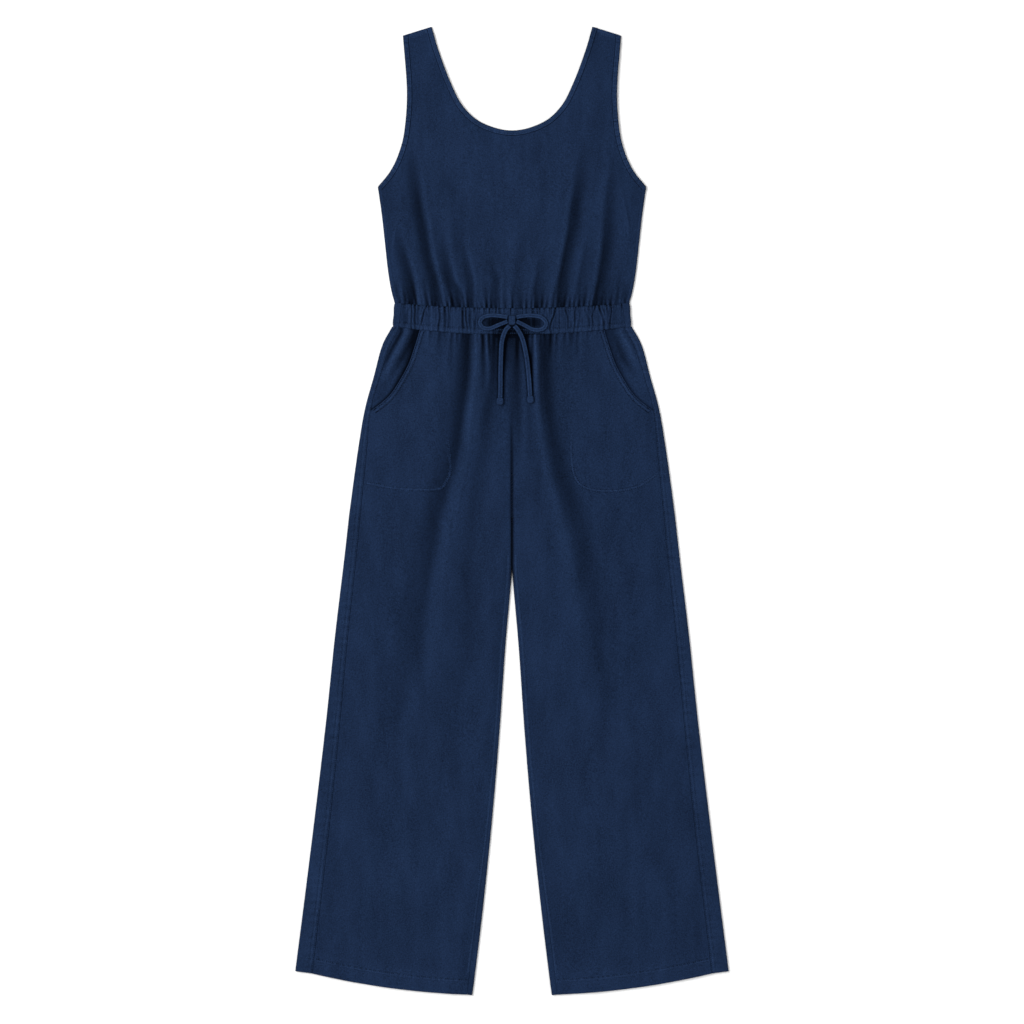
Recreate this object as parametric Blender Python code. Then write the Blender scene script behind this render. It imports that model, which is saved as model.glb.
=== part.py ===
"""A sleeveless wide-legged jumpsuit with an elasticated drawstring waist, laid flat, front up.

Metres. X runs across the garment (+X is the wearer's left), +Y towards the shoulders, +Z up.
z = 0 is the surface that the back lies on, and the origin is the middle of its outline.
"""
import math

import bmesh
import bpy
from mathutils import Vector

# Overall sizes
SHOULDER_Y = 0.726
HEM_Y = -0.7247

# Cloth and seams
CLOTH = 0.0012
SEAM_GAP = 0.0003
FOLD_RADIUS = 0.0025
FOLD_STEPS = 3
EDGE_Z = 2 * FOLD_RADIUS - CLOTH
LOWEST_FRONT_Z = CLOTH + 0.0004

# Elasticated waistband, a thicker wall because it is two layers round an elastic
BAND_WALL = 0.0022
BAND_FOLD_RADIUS = 0.0035
BAND_TOP_Z = 2 * BAND_FOLD_RADIUS
BAND_HALF_WIDTH = 0.1775
BAND_SIDE_SEAM_TOP_X = 0.165
BAND_SIDE_SEAM_BOTTOM_X = 0.170
BAND_TOP_SIDE_Y, BAND_TOP_DIP = 0.312, 0.008
BAND_BOTTOM_SIDE_Y, BAND_BOTTOM_DIP = 0.276, 0.012
RUCHE_COUNT = 42
RUCHE_RISE, RUCHE_CREASE = 0.0010, 0.0011
RUCHE_LEAN = 0.0022
# Rows across the waistband's height: share of the height, strength of the ruching
RUCHE_ROWS = ((0.0, 0.45), (0.18, 1.0), (0.5, 0.8), (0.82, 1.0), (1.0, 0.45))

# Bound neck and armhole edges
BINDING_WIDTH = 0.008
BINDING_LIFT, BINDING_DROP = 0.0004, 0.0002
BINDING_ROUND = 0.18

# Bodice
BODICE_WRAP = 0.0055
BODICE_PUFF, BODICE_PUFF_FADE = 0.0050, 0.090
BACK_EDGE_INSET = 0.0015
STRAP_COLUMNS, NECK_COLUMNS = 10, 32
STRAP_ROWS = 3
ARMHOLE_ROWS = 6
SHOULDER_DROP, SHOULDER_DROP_LENGTH = 0.0019, 0.014

# How the gathered cloth rises from a waist seam, and flattens towards a side seam
PUFF_START, PUFF_RISE_LENGTH = 0.35, 0.020
SIDE_FLATTENING = 0.020

# Legs
LEG_COLUMNS = 20
LEG_PUFF, LEG_PUFF_FADE, LEG_PUFF_HALF_WIDTH = 0.0045, 0.100, 0.100
CENTRE_CREASE_DEPTH, CENTRE_CREASE_HALF_WIDTH = 0.0021, 0.005
CENTRE_CREASE_TOP_Y, CENTRE_CREASE_FADE = 0.20, 0.14
HEM_BULGE = 0.0058
HEM_LIFT = 0.0005
CROTCH_ROW = 5

# Pocket facing, seen in the pocket mouth and hidden under the front below it
FACING_WALL, FACING_LOW_Z = 0.0010, 0.0016
FACING_INNER_X = 0.116
FACING_COLUMNS = 8
FACING_RISE_WIDTH = 0.022
FACING_CORNER_ROW, FACING_CORNER_INSET = 6, 0.030
FACING_BOTTOM_SAG, FACING_BOTTOM_LIFT = 0.010, 0.006

# Drawstring
CORD_DIAMETER = 0.0044
KNOT_SIZE = (0.0104, 0.0150, 0.0070)
KNOT_PLACE = (0.0, 0.2855, 0.0122)
KNOT_ROUND = 0.0024
TIP_SIZE = (0.0100, 0.0110, 0.0048)
TIP_ROUND = 0.0014

CLOTH_COLOUR, CLOTH_ROUGHNESS = (0.016, 0.030, 0.072, 1.0), 0.9
TRIM_COLOUR, TRIM_ROUGHNESS = (0.019, 0.035, 0.081, 1.0), 0.85
SHARP_ANGLE = math.radians(40)

# How finely a slope is read for a wall's thickness, and the most that a slope may thicken it
SLOPE_STEP, STEEPEST = 0.0015, 1.5

# Side outline of the bodice from the waist to the underarm: x, y
BODICE_SIDE = (
    (0.176, 0.312),
    (0.181, 0.331),
    (0.186, 0.361),
    (0.191, 0.406),
    (0.1955, 0.446),
    (0.2005, 0.481),
)
# Armhole edge from the underarm to the shoulder: x, y
ARMHOLE = (
    (0.201, 0.486),
    (0.182, 0.510),
    (0.169, 0.538),
    (0.161, 0.572),
    (0.1575, 0.630),
    (0.1635, 0.7125),
)
# Neck edge from its lowest point to the shoulder: x, y
NECK = (
    (0.0, 0.5702),
    (0.044, 0.5815),
    (0.073, 0.6060),
    (0.092, 0.642),
    (0.110, 0.690),
    (0.1205, SHOULDER_Y),
)
NECK_SPLIT_ROW = 3

# Leg sections from the waist seam to the hem: outer edge y and x, side seam's inset from it,
# inner edge y and x, inseam's inset from it (none above the crotch)
LEG = (
    (0.2747, 0.1830, 0.0140, 0.264, 0.0, 0.0),
    (0.246, 0.1950, 0.0115, 0.236, 0.0, 0.0),
    (0.200, 0.2075, 0.0095, 0.190, 0.0, 0.0),
    (0.150, 0.2210, 0.0090, 0.135, 0.0, 0.0),
    (0.085, 0.2317, 0.0137, 0.065, 0.0, 0.0),
    (-0.005, 0.2441, 0.0171, -0.010, 0.0, 0.0),
    (-0.008, 0.2445, 0.0172, -0.013, 0.0001, 0.0035),
    (-0.075, 0.2519, 0.0182, -0.085, 0.0001, 0.0035),
    (-0.190, 0.2656, 0.0196, -0.205, 0.0101, 0.0035),
    (-0.315, 0.2786, 0.0211, -0.335, 0.0191, 0.0035),
    (-0.450, 0.2945, 0.0235, -0.470, 0.0306, 0.0045),
    (-0.570, 0.3093, 0.0248, -0.595, 0.0436, 0.0080),
    (-0.667, 0.3216, 0.0256, -0.699, 0.0562, 0.0085),
    (-0.6932, 0.3249, 0.0259, HEM_Y, 0.0597, 0.0080),
)
HEM_LINE_ROW = 12
FACING_LAST_ROW = 9

# Pocket mouth from the waist seam to the side seam: x, y
POCKET_MOUTH = (
    (0.1385, 0.2705),
    (0.146, 0.246),
    (0.155, 0.2205),
    (0.1675, 0.197),
    (0.1805, 0.177),
    (0.194, 0.1635),
    (0.2118, 0.150),
)
MOUTH_LAST_ROW = 6

# Folds: path from the seam outwards, half-width at each end, height at its start, middle and end
BODICE_FOLDS = (
    (((-0.1690, 0.313), (-0.1740, 0.345)), 0.004, 0.005, -0.0030, -0.0020, 0.0),
    (((-0.1500, 0.312), (-0.1530, 0.3495), (-0.1560, 0.3675), (-0.1650, 0.3855), (-0.1680, 0.4035)),
     0.0055, 0.008, -0.0045, -0.0040, 0.0),
    (((-0.1130, 0.311), (-0.1170, 0.3495), (-0.1260, 0.3855), (-0.1395, 0.4575), (-0.1485, 0.5295)),
     0.0055, 0.010, -0.0040, -0.0050, -0.0010),
    (((-0.0810, 0.309), (-0.0915, 0.3495), (-0.1050, 0.4035), (-0.1080, 0.4575)),
     0.0055, 0.010, -0.0045, -0.0028, 0.0),
    (((-0.0610, 0.308), (-0.0630, 0.3495), (-0.0720, 0.3855), (-0.0780, 0.4755)),
     0.005, 0.009, -0.0035, -0.0020, 0.0),
    (((-0.0240, 0.305), (-0.0225, 0.3495), (-0.0330, 0.3855)), 0.005, 0.008, -0.0032, -0.0018, 0.0),
    (((0.0075, 0.304), (0.0090, 0.3495), (0.0120, 0.3855)), 0.006, 0.010, -0.0018, -0.0014, 0.0),
    (((0.0375, 0.305), (0.0405, 0.3495), (0.0465, 0.3855)), 0.005, 0.008, -0.0042, -0.0022, 0.0),
    (((0.0715, 0.308), (0.0750, 0.3495), (0.0825, 0.3855), (0.0945, 0.4575), (0.1020, 0.5295)),
     0.0055, 0.010, -0.0042, -0.0046, -0.0008),
    (((0.1030, 0.310), (0.1050, 0.3495), (0.1155, 0.4035)), 0.005, 0.008, -0.0028, -0.0018, 0.0),
    (((0.1280, 0.311), (0.1335, 0.3495), (0.1395, 0.3855), (0.1455, 0.4575), (0.1500, 0.5295)),
     0.0055, 0.010, -0.0046, -0.0038, 0.0),
    (((0.1690, 0.314), (0.1750, 0.350)), 0.0045, 0.006, -0.0036, -0.0020, 0.0),
)
LEG_FOLDS = (
    (((-0.0660, 0.268), (-0.0690, 0.2205), (-0.0840, 0.1155), (-0.0900, 0.0615), (-0.1080, 0.0225),
      (-0.1230, -0.0525), (-0.1320, -0.1485), (-0.1635, -0.2745), (-0.1785, -0.3435)),
     0.008, 0.016, -0.0048, -0.0030, 0.0),
    (((-0.0285, 0.266), (-0.0270, 0.2205), (-0.0300, 0.1785), (-0.0390, 0.1365)),
     0.006, 0.009, -0.0048, -0.0035, 0.0),
    (((-0.0420, 0.105), (-0.0495, -0.0105), (-0.0540, -0.1035), (-0.0615, -0.2175)),
     0.012, 0.014, -0.0008, -0.0014, 0.0),
    (((0.0, 0.265), (0.0010, 0.1785), (0.0, 0.1155)), 0.010, 0.007, -0.0048, -0.0035, -0.0006),
    (((0.0495, 0.267), (0.0480, 0.1785), (0.0580, 0.1155), (0.0735, 0.0700), (0.0900, 0.0105),
      (0.1140, -0.1035), (0.1320, -0.2175), (0.1500, -0.3315)),
     0.009, 0.016, -0.0048, -0.0030, 0.0),
    (((0.0900, 0.2685), (0.0865, 0.2205), (0.0900, 0.1785)), 0.008, 0.010, -0.0026, -0.0016, 0.0),
    (((-0.1005, 0.2685), (-0.1035, 0.2415)), 0.005, 0.006, -0.0022, -0.0012, 0.0),
    (((-0.0885, -0.3315), (-0.1080, -0.3885), (-0.1320, -0.5025)), 0.014, 0.014, -0.0006, -0.0012, 0.0),
)
# The facing's folds, for the wearer's right and left pocket
FACING_FOLDS = {
    -1: (
        (((-0.158, 0.268), (-0.192, 0.196)), 0.007, 0.008, 0.0016, 0.0014, 0.0),
        (((-0.146, 0.268), (-0.180, 0.207)), 0.006, 0.007, -0.0006, -0.0008, 0.0),
    ),
    1: (
        (((0.166, 0.268), (0.187, 0.228)), 0.007, 0.007, 0.0016, 0.0012, 0.0),
        (((0.148, 0.268), (0.184, 0.210), (0.192, 0.180)), 0.006, 0.007, -0.0006, -0.0008, 0.0),
    ),
}

# Drawstring centrelines: x, y, z. Loops leave the knot high and come back low; tails lie on the legs
LOOP_LEFT = (
    (0.0068, 0.2900, 0.0138),
    (0.0190, 0.2922, 0.0128),
    (0.0315, 0.2925, 0.0116),
    (0.0440, 0.2898, 0.0110),
    (0.0510, 0.2817, 0.0110),
    (0.0480, 0.2740, 0.0110),
    (0.0400, 0.2712, 0.0110),
    (0.0300, 0.2722, 0.0110),
    (0.0180, 0.2785, 0.0110),
    (0.0068, 0.2838, 0.0112),
)
LOOP_RIGHT = (
    (-0.0068, 0.2900, 0.0138),
    (-0.0200, 0.2922, 0.0126),
    (-0.0330, 0.2928, 0.0114),
    (-0.0440, 0.2892, 0.0110),
    (-0.0480, 0.2817, 0.0110),
    (-0.0430, 0.2745, 0.0110),
    (-0.0330, 0.2733, 0.0110),
    (-0.0200, 0.2785, 0.0110),
    (-0.0068, 0.2838, 0.0112),
)
TAIL_LEFT = (
    (0.0036, 0.2770, 0.0128),
    (0.0095, 0.2700, 0.0122),
    (0.0162, 0.2560, 0.0122),
    (0.0215, 0.2320, 0.0120),
    (0.0246, 0.2070, 0.0112),
    (0.0266, 0.1820, 0.0104),
    (0.0272, 0.1725, 0.0102),
)
TAIL_RIGHT = (
    (-0.0036, 0.2770, 0.0128),
    (-0.0098, 0.2700, 0.0122),
    (-0.0150, 0.2544, 0.0122),
    (-0.0165, 0.2320, 0.0120),
    (-0.0171, 0.2070, 0.0112),
    (-0.0173, 0.1820, 0.0104),
    (-0.0177, 0.1700, 0.0102),
)


def clear_scene():
    for obj in list(bpy.data.objects):
        bpy.data.objects.remove(obj, do_unlink=True)


def make_material(name, colour, roughness):
    material = bpy.data.materials.new(name)
    material.use_nodes = True
    shader = material.node_tree.nodes["Principled BSDF"]
    shader.inputs["Base Color"].default_value = colour
    shader.inputs["Roughness"].default_value = roughness
    shader.inputs["Metallic"].default_value = 0.0
    return material


# Curves and blending


def clamp01(value):
    return max(0.0, min(1.0, value))


def smooth(value):
    t = clamp01(value)
    return t * t * (3 - 2 * t)


def lerp(a, b, t):
    return a + (b - a) * t


def soft_floor(value, floor, softness=0.0006):
    """The value, eased so that it never falls below the floor."""
    over = (value - floor) / softness
    if over > 20:
        return value
    return floor + softness * math.log1p(math.exp(over))


def smooth_path(points, before=None):
    """A fine path on a smooth curve through the points, which may come from a point before them."""
    knots = [Vector(p) for p in points]
    first = 2 * knots[0] - knots[1] if before is None else before
    knots = [first, *knots, 2 * knots[-1] - knots[-2]]
    fine = []
    steps = 24
    for i in range(1, len(knots) - 2):
        a, b, c, d = knots[i - 1 : i + 3]
        for k in range(steps):
            t = k / steps
            cubic = 3 * b + (d - a) - 3 * c
            fine.append(0.5 * (2 * b + (c - a) * t + (2 * a - 5 * b + 4 * c - d) * t**2 + cubic * t**3))
    return fine + [knots[-2]]


def even_points(path, count):
    """count + 1 points, an even step apart along a path."""
    along = [0.0]
    for p, q in zip(path, path[1:]):
        along.append(along[-1] + (q - p).length)
    found = []
    i = 0
    for k in range(count + 1):
        at = along[-1] * k / count
        while i < len(along) - 2 and along[i + 1] < at:
            i += 1
        found.append(path[i].lerp(path[i + 1], clamp01((at - along[i]) / (along[i + 1] - along[i]))))
    return found


def spline(points, count):
    return even_points(smooth_path(points), count)


def offset_curve(points, distance):
    """Each point moved to the left of the way the curve runs."""
    moved = []
    for i, p in enumerate(points):
        ahead, behind = points[min(i + 1, len(points) - 1)], points[max(i - 1, 0)]
        way = (ahead - behind).normalized()
        moved.append(p + distance * Vector((-way.y, way.x)))
    return moved


def mirror_x(point):
    return Vector((-point.x, point.y))


def band_top_y(x):
    return BAND_TOP_SIDE_Y - BAND_TOP_DIP * (1 - (x / BAND_HALF_WIDTH) ** 2)


def band_bottom_y(x):
    return BAND_BOTTOM_SIDE_Y - BAND_BOTTOM_DIP * (1 - (x / BAND_HALF_WIDTH) ** 2)


def x_on(polyline, y):
    """The x of a polyline of (x, y) rows that climbs or falls steadily in y."""
    rows = sorted(polyline, key=lambda row: row[1])
    if y <= rows[0][1]:
        return rows[0][0]
    for (x0, y0), (x1, y1) in zip(rows, rows[1:]):
        if y <= y1:
            return lerp(x0, x1, (y - y0) / (y1 - y0))
    return rows[-1][0]


# Height of the front cloth


def fold_height(x, y, folds):
    """The sum of soft troughs and ridges along their paths."""
    total = 0.0
    for path, width_start, width_end, start, middle, end in folds:
        lengths = [math.dist(p, q) for p, q in zip(path, path[1:])]
        whole = sum(lengths)
        best, share, gone = 1e9, 0.0, 0.0
        for (px, py), (qx, qy), length in zip(path, path[1:], lengths):
            dx, dy = qx - px, qy - py
            t = clamp01(((x - px) * dx + (y - py) * dy) / length**2)
            away = math.hypot(x - px - t * dx, y - py - t * dy)
            if away < best:
                best, share = away, (gone + t * length) / whole
            gone += length
        width = lerp(width_start, width_end, share)
        if share < 0.5:
            height = lerp(start, middle, share * 2)
        else:
            height = lerp(middle, end, share * 2 - 1)
        total += height * math.exp(-((best / width) ** 2))
    return total


def gathered_rise(distance):
    return lerp(PUFF_START, 1.0, smooth(distance / PUFF_RISE_LENGTH))


def bodice_z(x, y):
    """The underside of the front bodice."""
    rise = max(0.0, y - band_top_y(x))
    puff = BODICE_PUFF * gathered_rise(rise) * math.exp(-rise / BODICE_PUFF_FADE)
    puff *= 1 - (x / ARMHOLE[0][0]) ** 4
    folds = fold_height(x, y, BODICE_FOLDS)
    inside = SIDE_FLATTENING if y > ARMHOLE[0][1] else x_on(BODICE_SIDE, y) - BODICE_WRAP - abs(x)
    z = EDGE_Z + smooth(inside / SIDE_FLATTENING) * (puff + folds)
    shoulder = lerp(SHOULDER_Y, ARMHOLE[-1][1], (abs(x) - NECK[-1][0]) / (ARMHOLE[-1][0] - NECK[-1][0]))
    z -= SHOULDER_DROP * smooth(1 - (shoulder - y) / SHOULDER_DROP_LENGTH)
    return soft_floor(z, LOWEST_FRONT_Z)


def leg_z(x, y):
    """The underside of a front leg."""
    fall = max(0.0, band_bottom_y(x) - y)
    puff = LEG_PUFF * gathered_rise(fall) * math.exp(-fall / LEG_PUFF_FADE)
    puff *= math.exp(-((x / LEG_PUFF_HALF_WIDTH) ** 4))
    folds = fold_height(x, y, LEG_FOLDS)
    crease = 0.0
    if y > LEG[CROTCH_ROW][3]:
        crease = CENTRE_CREASE_DEPTH * smooth((CENTRE_CREASE_TOP_Y - y) / CENTRE_CREASE_FADE)
        crease *= math.exp(-((x / CENTRE_CREASE_HALF_WIDTH) ** 2))
    side = x_on([(row[1] - row[2], row[0]) for row in LEG], y) - abs(x)
    middle = abs(x) - x_on([(row[4] + row[5], row[3]) for row in LEG], y)
    inside = smooth(side / SIDE_FLATTENING)
    if y < LEG[CROTCH_ROW][3]:
        inside *= smooth(middle / SIDE_FLATTENING)
    return soft_floor(EDGE_Z + inside * (puff + folds) - crease, LOWEST_FRONT_Z)


# Solids


def finish_object(name, builder, colour, roughness):
    mesh = bpy.data.meshes.new(name)
    bmesh.ops.recalc_face_normals(builder, faces=builder.faces)
    builder.to_mesh(mesh)
    builder.free()
    mesh.shade_smooth()
    mesh.set_sharp_from_angle(angle=SHARP_ANGLE)
    mesh.materials.append(make_material(name, colour, roughness))
    obj = bpy.data.objects.new(name, mesh)
    bpy.context.scene.collection.objects.link(obj)
    return obj


def wall_solid(name, outer, inner, filled=None):
    """A closed wall between two matching grids of points; filled(row, column) says which cells exist."""
    builder = bmesh.new()
    rows, columns = len(outer) - 1, len(outer[0]) - 1
    corners = {}

    def corner(side, row, column):
        key = (side, row, column)
        if key not in corners:
            grid = outer if side == 0 else inner
            corners[key] = builder.verts.new(grid[row][column])
        return corners[key]

    def is_filled(row, column):
        inside = 0 <= row < rows and 0 <= column < columns
        return inside and (filled is None or filled(row, column))

    for row in range(rows):
        for column in range(columns):
            if not is_filled(row, column):
                continue
            loop = [(row, column), (row, column + 1), (row + 1, column + 1), (row + 1, column)]
            builder.faces.new([corner(0, *at) for at in loop])
            builder.faces.new([corner(1, *at) for at in reversed(loop)])
            beyond = [(row - 1, column), (row, column + 1), (row + 1, column), (row, column - 1)]
            for k, neighbour in enumerate(beyond):
                if not is_filled(*neighbour):
                    a, b = loop[k], loop[(k + 1) % 4]
                    builder.faces.new([corner(0, *b), corner(0, *a), corner(1, *a), corner(1, *b)])
    return finish_object(name, builder, CLOTH_COLOUR, CLOTH_ROUGHNESS)


def raised_wall(name, plan, underside, thickness, filled=None, lift=None):
    """A cloth wall over a plan grid: underside(x, y) is its lower surface, and it is as thick on slopes."""
    step = SLOPE_STEP
    lower, upper = [], []
    for r, row in enumerate(plan):
        low_row, high_row = [], []
        for c, p in enumerate(row):
            if p is None:
                low_row.append(Vector((0, 0, 0)))
                high_row.append(Vector((0, 0, 0)))
                continue
            z = underside(p.x, p.y)
            slope_x = (underside(p.x + step, p.y) - underside(p.x - step, p.y)) / (2 * step)
            slope_y = (underside(p.x, p.y + step) - underside(p.x, p.y - step)) / (2 * step)
            steepness = min(STEEPEST, math.sqrt(1 + slope_x**2 + slope_y**2))
            extra = lift(r, c) if lift else 0.0
            low_row.append(Vector((p.x, p.y, z)))
            high_row.append(Vector((p.x, p.y, z + thickness * steepness + extra)))
        lower.append(low_row)
        upper.append(high_row)
    return wall_solid(name, upper, lower, filled)


def side_fold(edge_x, seam_x, radius, wall):
    """(x, z) of the outer and inner faces of a fold, from its seam on the front round to the back.

    seam_x below edge_x folds round a side at +X, and above it round a side at -X.
    """
    way = 1 if edge_x > seam_x else -1
    centre_x = edge_x - way * radius
    outer, inner = [(seam_x, 2 * radius)], [(seam_x, 2 * radius - wall)]
    for k in range(FOLD_STEPS + 1):
        angle = math.pi / 2 - math.pi * k / FOLD_STEPS
        for found, reach in ((outer, radius), (inner, radius - wall)):
            found.append((centre_x + way * reach * math.cos(angle), radius + reach * math.sin(angle)))
    return outer, inner


def strip_solid(name, edge, inside, underside):
    """A binding between the garment's edge and the panel: a low band with a rounded outer edge."""
    builder = bmesh.new()
    rings = []
    for e, i in zip(edge, inside):
        shoulder = e.lerp(i, BINDING_ROUND)
        z_i, z_s, z_e = (underside(p.x, p.y) for p in (i, shoulder, e))
        section = (
            (i, z_i + CLOTH + BINDING_LIFT),
            (shoulder, z_s + CLOTH + BINDING_LIFT),
            (e, z_e + CLOTH / 2),
            (shoulder, z_s - BINDING_DROP),
            (i, z_i - BINDING_DROP),
        )
        rings.append([builder.verts.new((p.x, p.y, z)) for p, z in section])
    for ring, following in zip(rings, rings[1:]):
        for k in range(len(ring)):
            after = (k + 1) % len(ring)
            builder.faces.new([ring[k], ring[after], following[after], following[k]])
    builder.faces.new(rings[0])
    builder.faces.new(list(reversed(rings[-1])))
    return finish_object(name, builder, TRIM_COLOUR, TRIM_ROUGHNESS)


# Bodice


def split_path(points, count_below, count_above, before=None):
    """An edge from its low end to the shoulder, with rows that are level with the bodice's where it splits."""
    path = smooth_path(points, before)
    split = min(range(len(path)), key=lambda i: abs(path[i].y - NECK[NECK_SPLIT_ROW][1]))
    return even_points(path[: split + 1], count_below) + even_points(path[split:], count_above)[1:]


def neck_edge():
    """The neck's edge from the wearer's right shoulder round to the left."""
    left = split_path(NECK, NECK_COLUMNS // 2, STRAP_ROWS, mirror_x(Vector(NECK[1])))
    return [mirror_x(p) for p in reversed(left)] + left[1:]


def armhole_edge():
    """The armhole's edge from the underarm to the shoulder."""
    return split_path(ARMHOLE, ARMHOLE_ROWS, STRAP_ROWS)


def seam_rows():
    """The side seam's points on the bodice, with one more between each two rows of the table."""
    rows = [Vector((x - BODICE_WRAP - SEAM_GAP / 2, y)) for x, y in BODICE_SIDE]
    finer = []
    for p, q in zip(rows, rows[1:]):
        finer += [p, p.lerp(q, 0.5)]
    return finer + [rows[-1]]


def bodice_plan(side, armhole, neck, columns_strap, columns_neck):
    """A grid over half-outlines: side and armhole run up the wearer's left, neck from right strap to left.

    Its lower rows cross the whole bodice, and its upper rows only the straps.
    """
    left_side = side + armhole[1 : len(armhole) - STRAP_ROWS]
    lower_rows = len(left_side) - 1
    columns = 2 * columns_strap + columns_neck
    bottom_x = left_side[0].x
    split_left = neck[STRAP_ROWS + columns_neck]
    strap_top = [left_side[-1].lerp(split_left, k / columns_strap) for k in range(columns_strap + 1)]
    top = [mirror_x(p) for p in strap_top] + neck[STRAP_ROWS + 1 : STRAP_ROWS + columns_neck] + strap_top[::-1]
    low_y, high_y = left_side[0].y, left_side[-1].y
    corners = (mirror_x(left_side[0]), left_side[0], mirror_x(left_side[-1]), left_side[-1])
    plan = []
    for r in range(lower_rows + 1):
        v = (left_side[r].y - low_y) / (high_y - low_y)
        row = []
        for c in range(columns + 1):
            u = c / columns
            x = lerp(-bottom_x, bottom_x, u)
            bottom = Vector((x, band_top_y(x) + SEAM_GAP / 2))
            along = (1 - v) * bottom + v * top[c]
            across = (1 - u) * mirror_x(left_side[r]) + u * left_side[r]
            low = (1 - u) * corners[0] + u * corners[1]
            high = (1 - u) * corners[2] + u * corners[3]
            row.append(along + across - (1 - v) * low - v * high)
        plan.append(row)
    for k in range(1, STRAP_ROWS + 1):
        outer, inner = armhole[len(armhole) - 1 - STRAP_ROWS + k], neck[STRAP_ROWS + columns_neck + k]
        strap = [outer.lerp(inner, j / columns_strap) for j in range(columns_strap + 1)]
        plan.append([mirror_x(p) for p in strap] + [None] * (columns_neck - 1) + strap[::-1])
    return plan, lower_rows


def strap_cells(lower_rows, columns_strap, columns_neck):
    """Which cells of a bodice grid exist: all below the neck, and only the straps above."""

    def filled(row, column):
        return row < lower_rows or column < columns_strap or column >= columns_strap + columns_neck

    return filled


def inset_edges(neck, armhole, inset):
    """The neck's and armhole's edges moved in on the cloth, with their ends kept on the shoulder seam."""
    slope = (neck[-1].y - armhole[-1].y) / (armhole[-1].x - neck[-1].x)
    moved_neck = offset_curve(neck, -inset)
    moved_neck[-1] = neck[-1] + inset * Vector((1, -slope))
    moved_neck[0] = mirror_x(moved_neck[-1])
    moved_armhole = offset_curve(armhole, inset)
    moved_armhole[-1] = armhole[-1] - inset * Vector((1, -slope))
    return moved_neck, moved_armhole


def make_bodice_front():
    neck, armhole = neck_edge(), armhole_edge()
    neck_inside, armhole_inside = inset_edges(neck, armhole, BINDING_WIDTH)
    panel_neck, panel_armhole = inset_edges(neck, armhole, BINDING_WIDTH + SEAM_GAP)
    side = seam_rows()
    side[0].y = band_top_y(side[0].x) + SEAM_GAP / 2
    panel_armhole[0] = side[-1]
    armhole_inside[0] = side[-1] + Vector((0.0, SEAM_GAP))
    plan, lower_rows = bodice_plan(side, panel_armhole, panel_neck, STRAP_COLUMNS, NECK_COLUMNS)
    raised_wall("bodice_front", plan, bodice_z, CLOTH, strap_cells(lower_rows, STRAP_COLUMNS, NECK_COLUMNS))
    strip_solid("neck_binding", neck, neck_inside, bodice_z)
    strip_solid("armhole_binding_left", armhole, armhole_inside, bodice_z)
    armhole, armhole_inside = ([mirror_x(p) for p in line] for line in (armhole, armhole_inside))
    strip_solid("armhole_binding_right", armhole, armhole_inside, bodice_z)


def make_bodice_back():
    """The back lies flat, and below the underarms it folds round to the side seams on the front."""
    strap_columns, neck_columns = 3, 16
    neck, armhole = inset_edges(neck_edge(), armhole_edge(), BACK_EDGE_INSET)
    scoop = neck[STRAP_ROWS : STRAP_ROWS + NECK_COLUMNS + 1 : NECK_COLUMNS // neck_columns]
    neck = neck[:STRAP_ROWS] + scoop + neck[STRAP_ROWS + NECK_COLUMNS + 1 :]
    flat_side = [Vector((x - FOLD_RADIUS, y)) for x, y in BODICE_SIDE]
    flat_side[0].y = band_top_y(flat_side[0].x) + SEAM_GAP / 2
    armhole[0] = flat_side[-1]
    plan, lower_rows = bodice_plan(flat_side, armhole, neck, strap_columns, neck_columns)
    strap = strap_cells(lower_rows, strap_columns, neck_columns)
    fold_rows, fold_columns = len(BODICE_SIDE) - 1, FOLD_STEPS + 1
    outer, inner = [], []
    for r, row in enumerate(plan):
        flat = [p if p is not None else Vector((0, 0)) for p in row]
        edge_x, y = BODICE_SIDE[min(r, fold_rows)]
        faces = side_fold(edge_x, edge_x - BODICE_WRAP + SEAM_GAP / 2, FOLD_RADIUS, CLOTH)
        for grid, fold, z in ((outer, faces[0], 0.0), (inner, faces[1], CLOTH)):
            left = [Vector((x, band_top_y(x) + SEAM_GAP / 2 if r == 0 else y, h)) for x, h in fold[:-1]]
            right = [Vector((-p.x, p.y, p.z)) for p in left]
            grid.append(right + [Vector((p.x, p.y, z)) for p in flat] + left[::-1])
    flat_columns = 2 * strap_columns + neck_columns

    def filled(row, column):
        inside = column - fold_columns
        if 0 <= inside < flat_columns:
            return strap(row, inside)
        return row < fold_rows

    return wall_solid("bodice_back", outer, inner, filled)


# Waistband


def ruche_columns():
    """The waistband's columns across it, and whether each is in a crease or on a ruche; widths are uneven."""
    weights = [1 + 0.45 * math.sin(2.4 * k) + 0.35 * math.sin(5.3 * k + 1.0) for k in range(RUCHE_COUNT)]
    whole = sum(weights)
    columns = []
    gone = 0.0
    for weight in weights:
        for share, is_raised in ((0.0, False), (0.3, True), (0.7, True)):
            columns.append(((gone + weight * share) / whole, is_raised))
        gone += weight
    return columns + [(1.0, False)]


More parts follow.
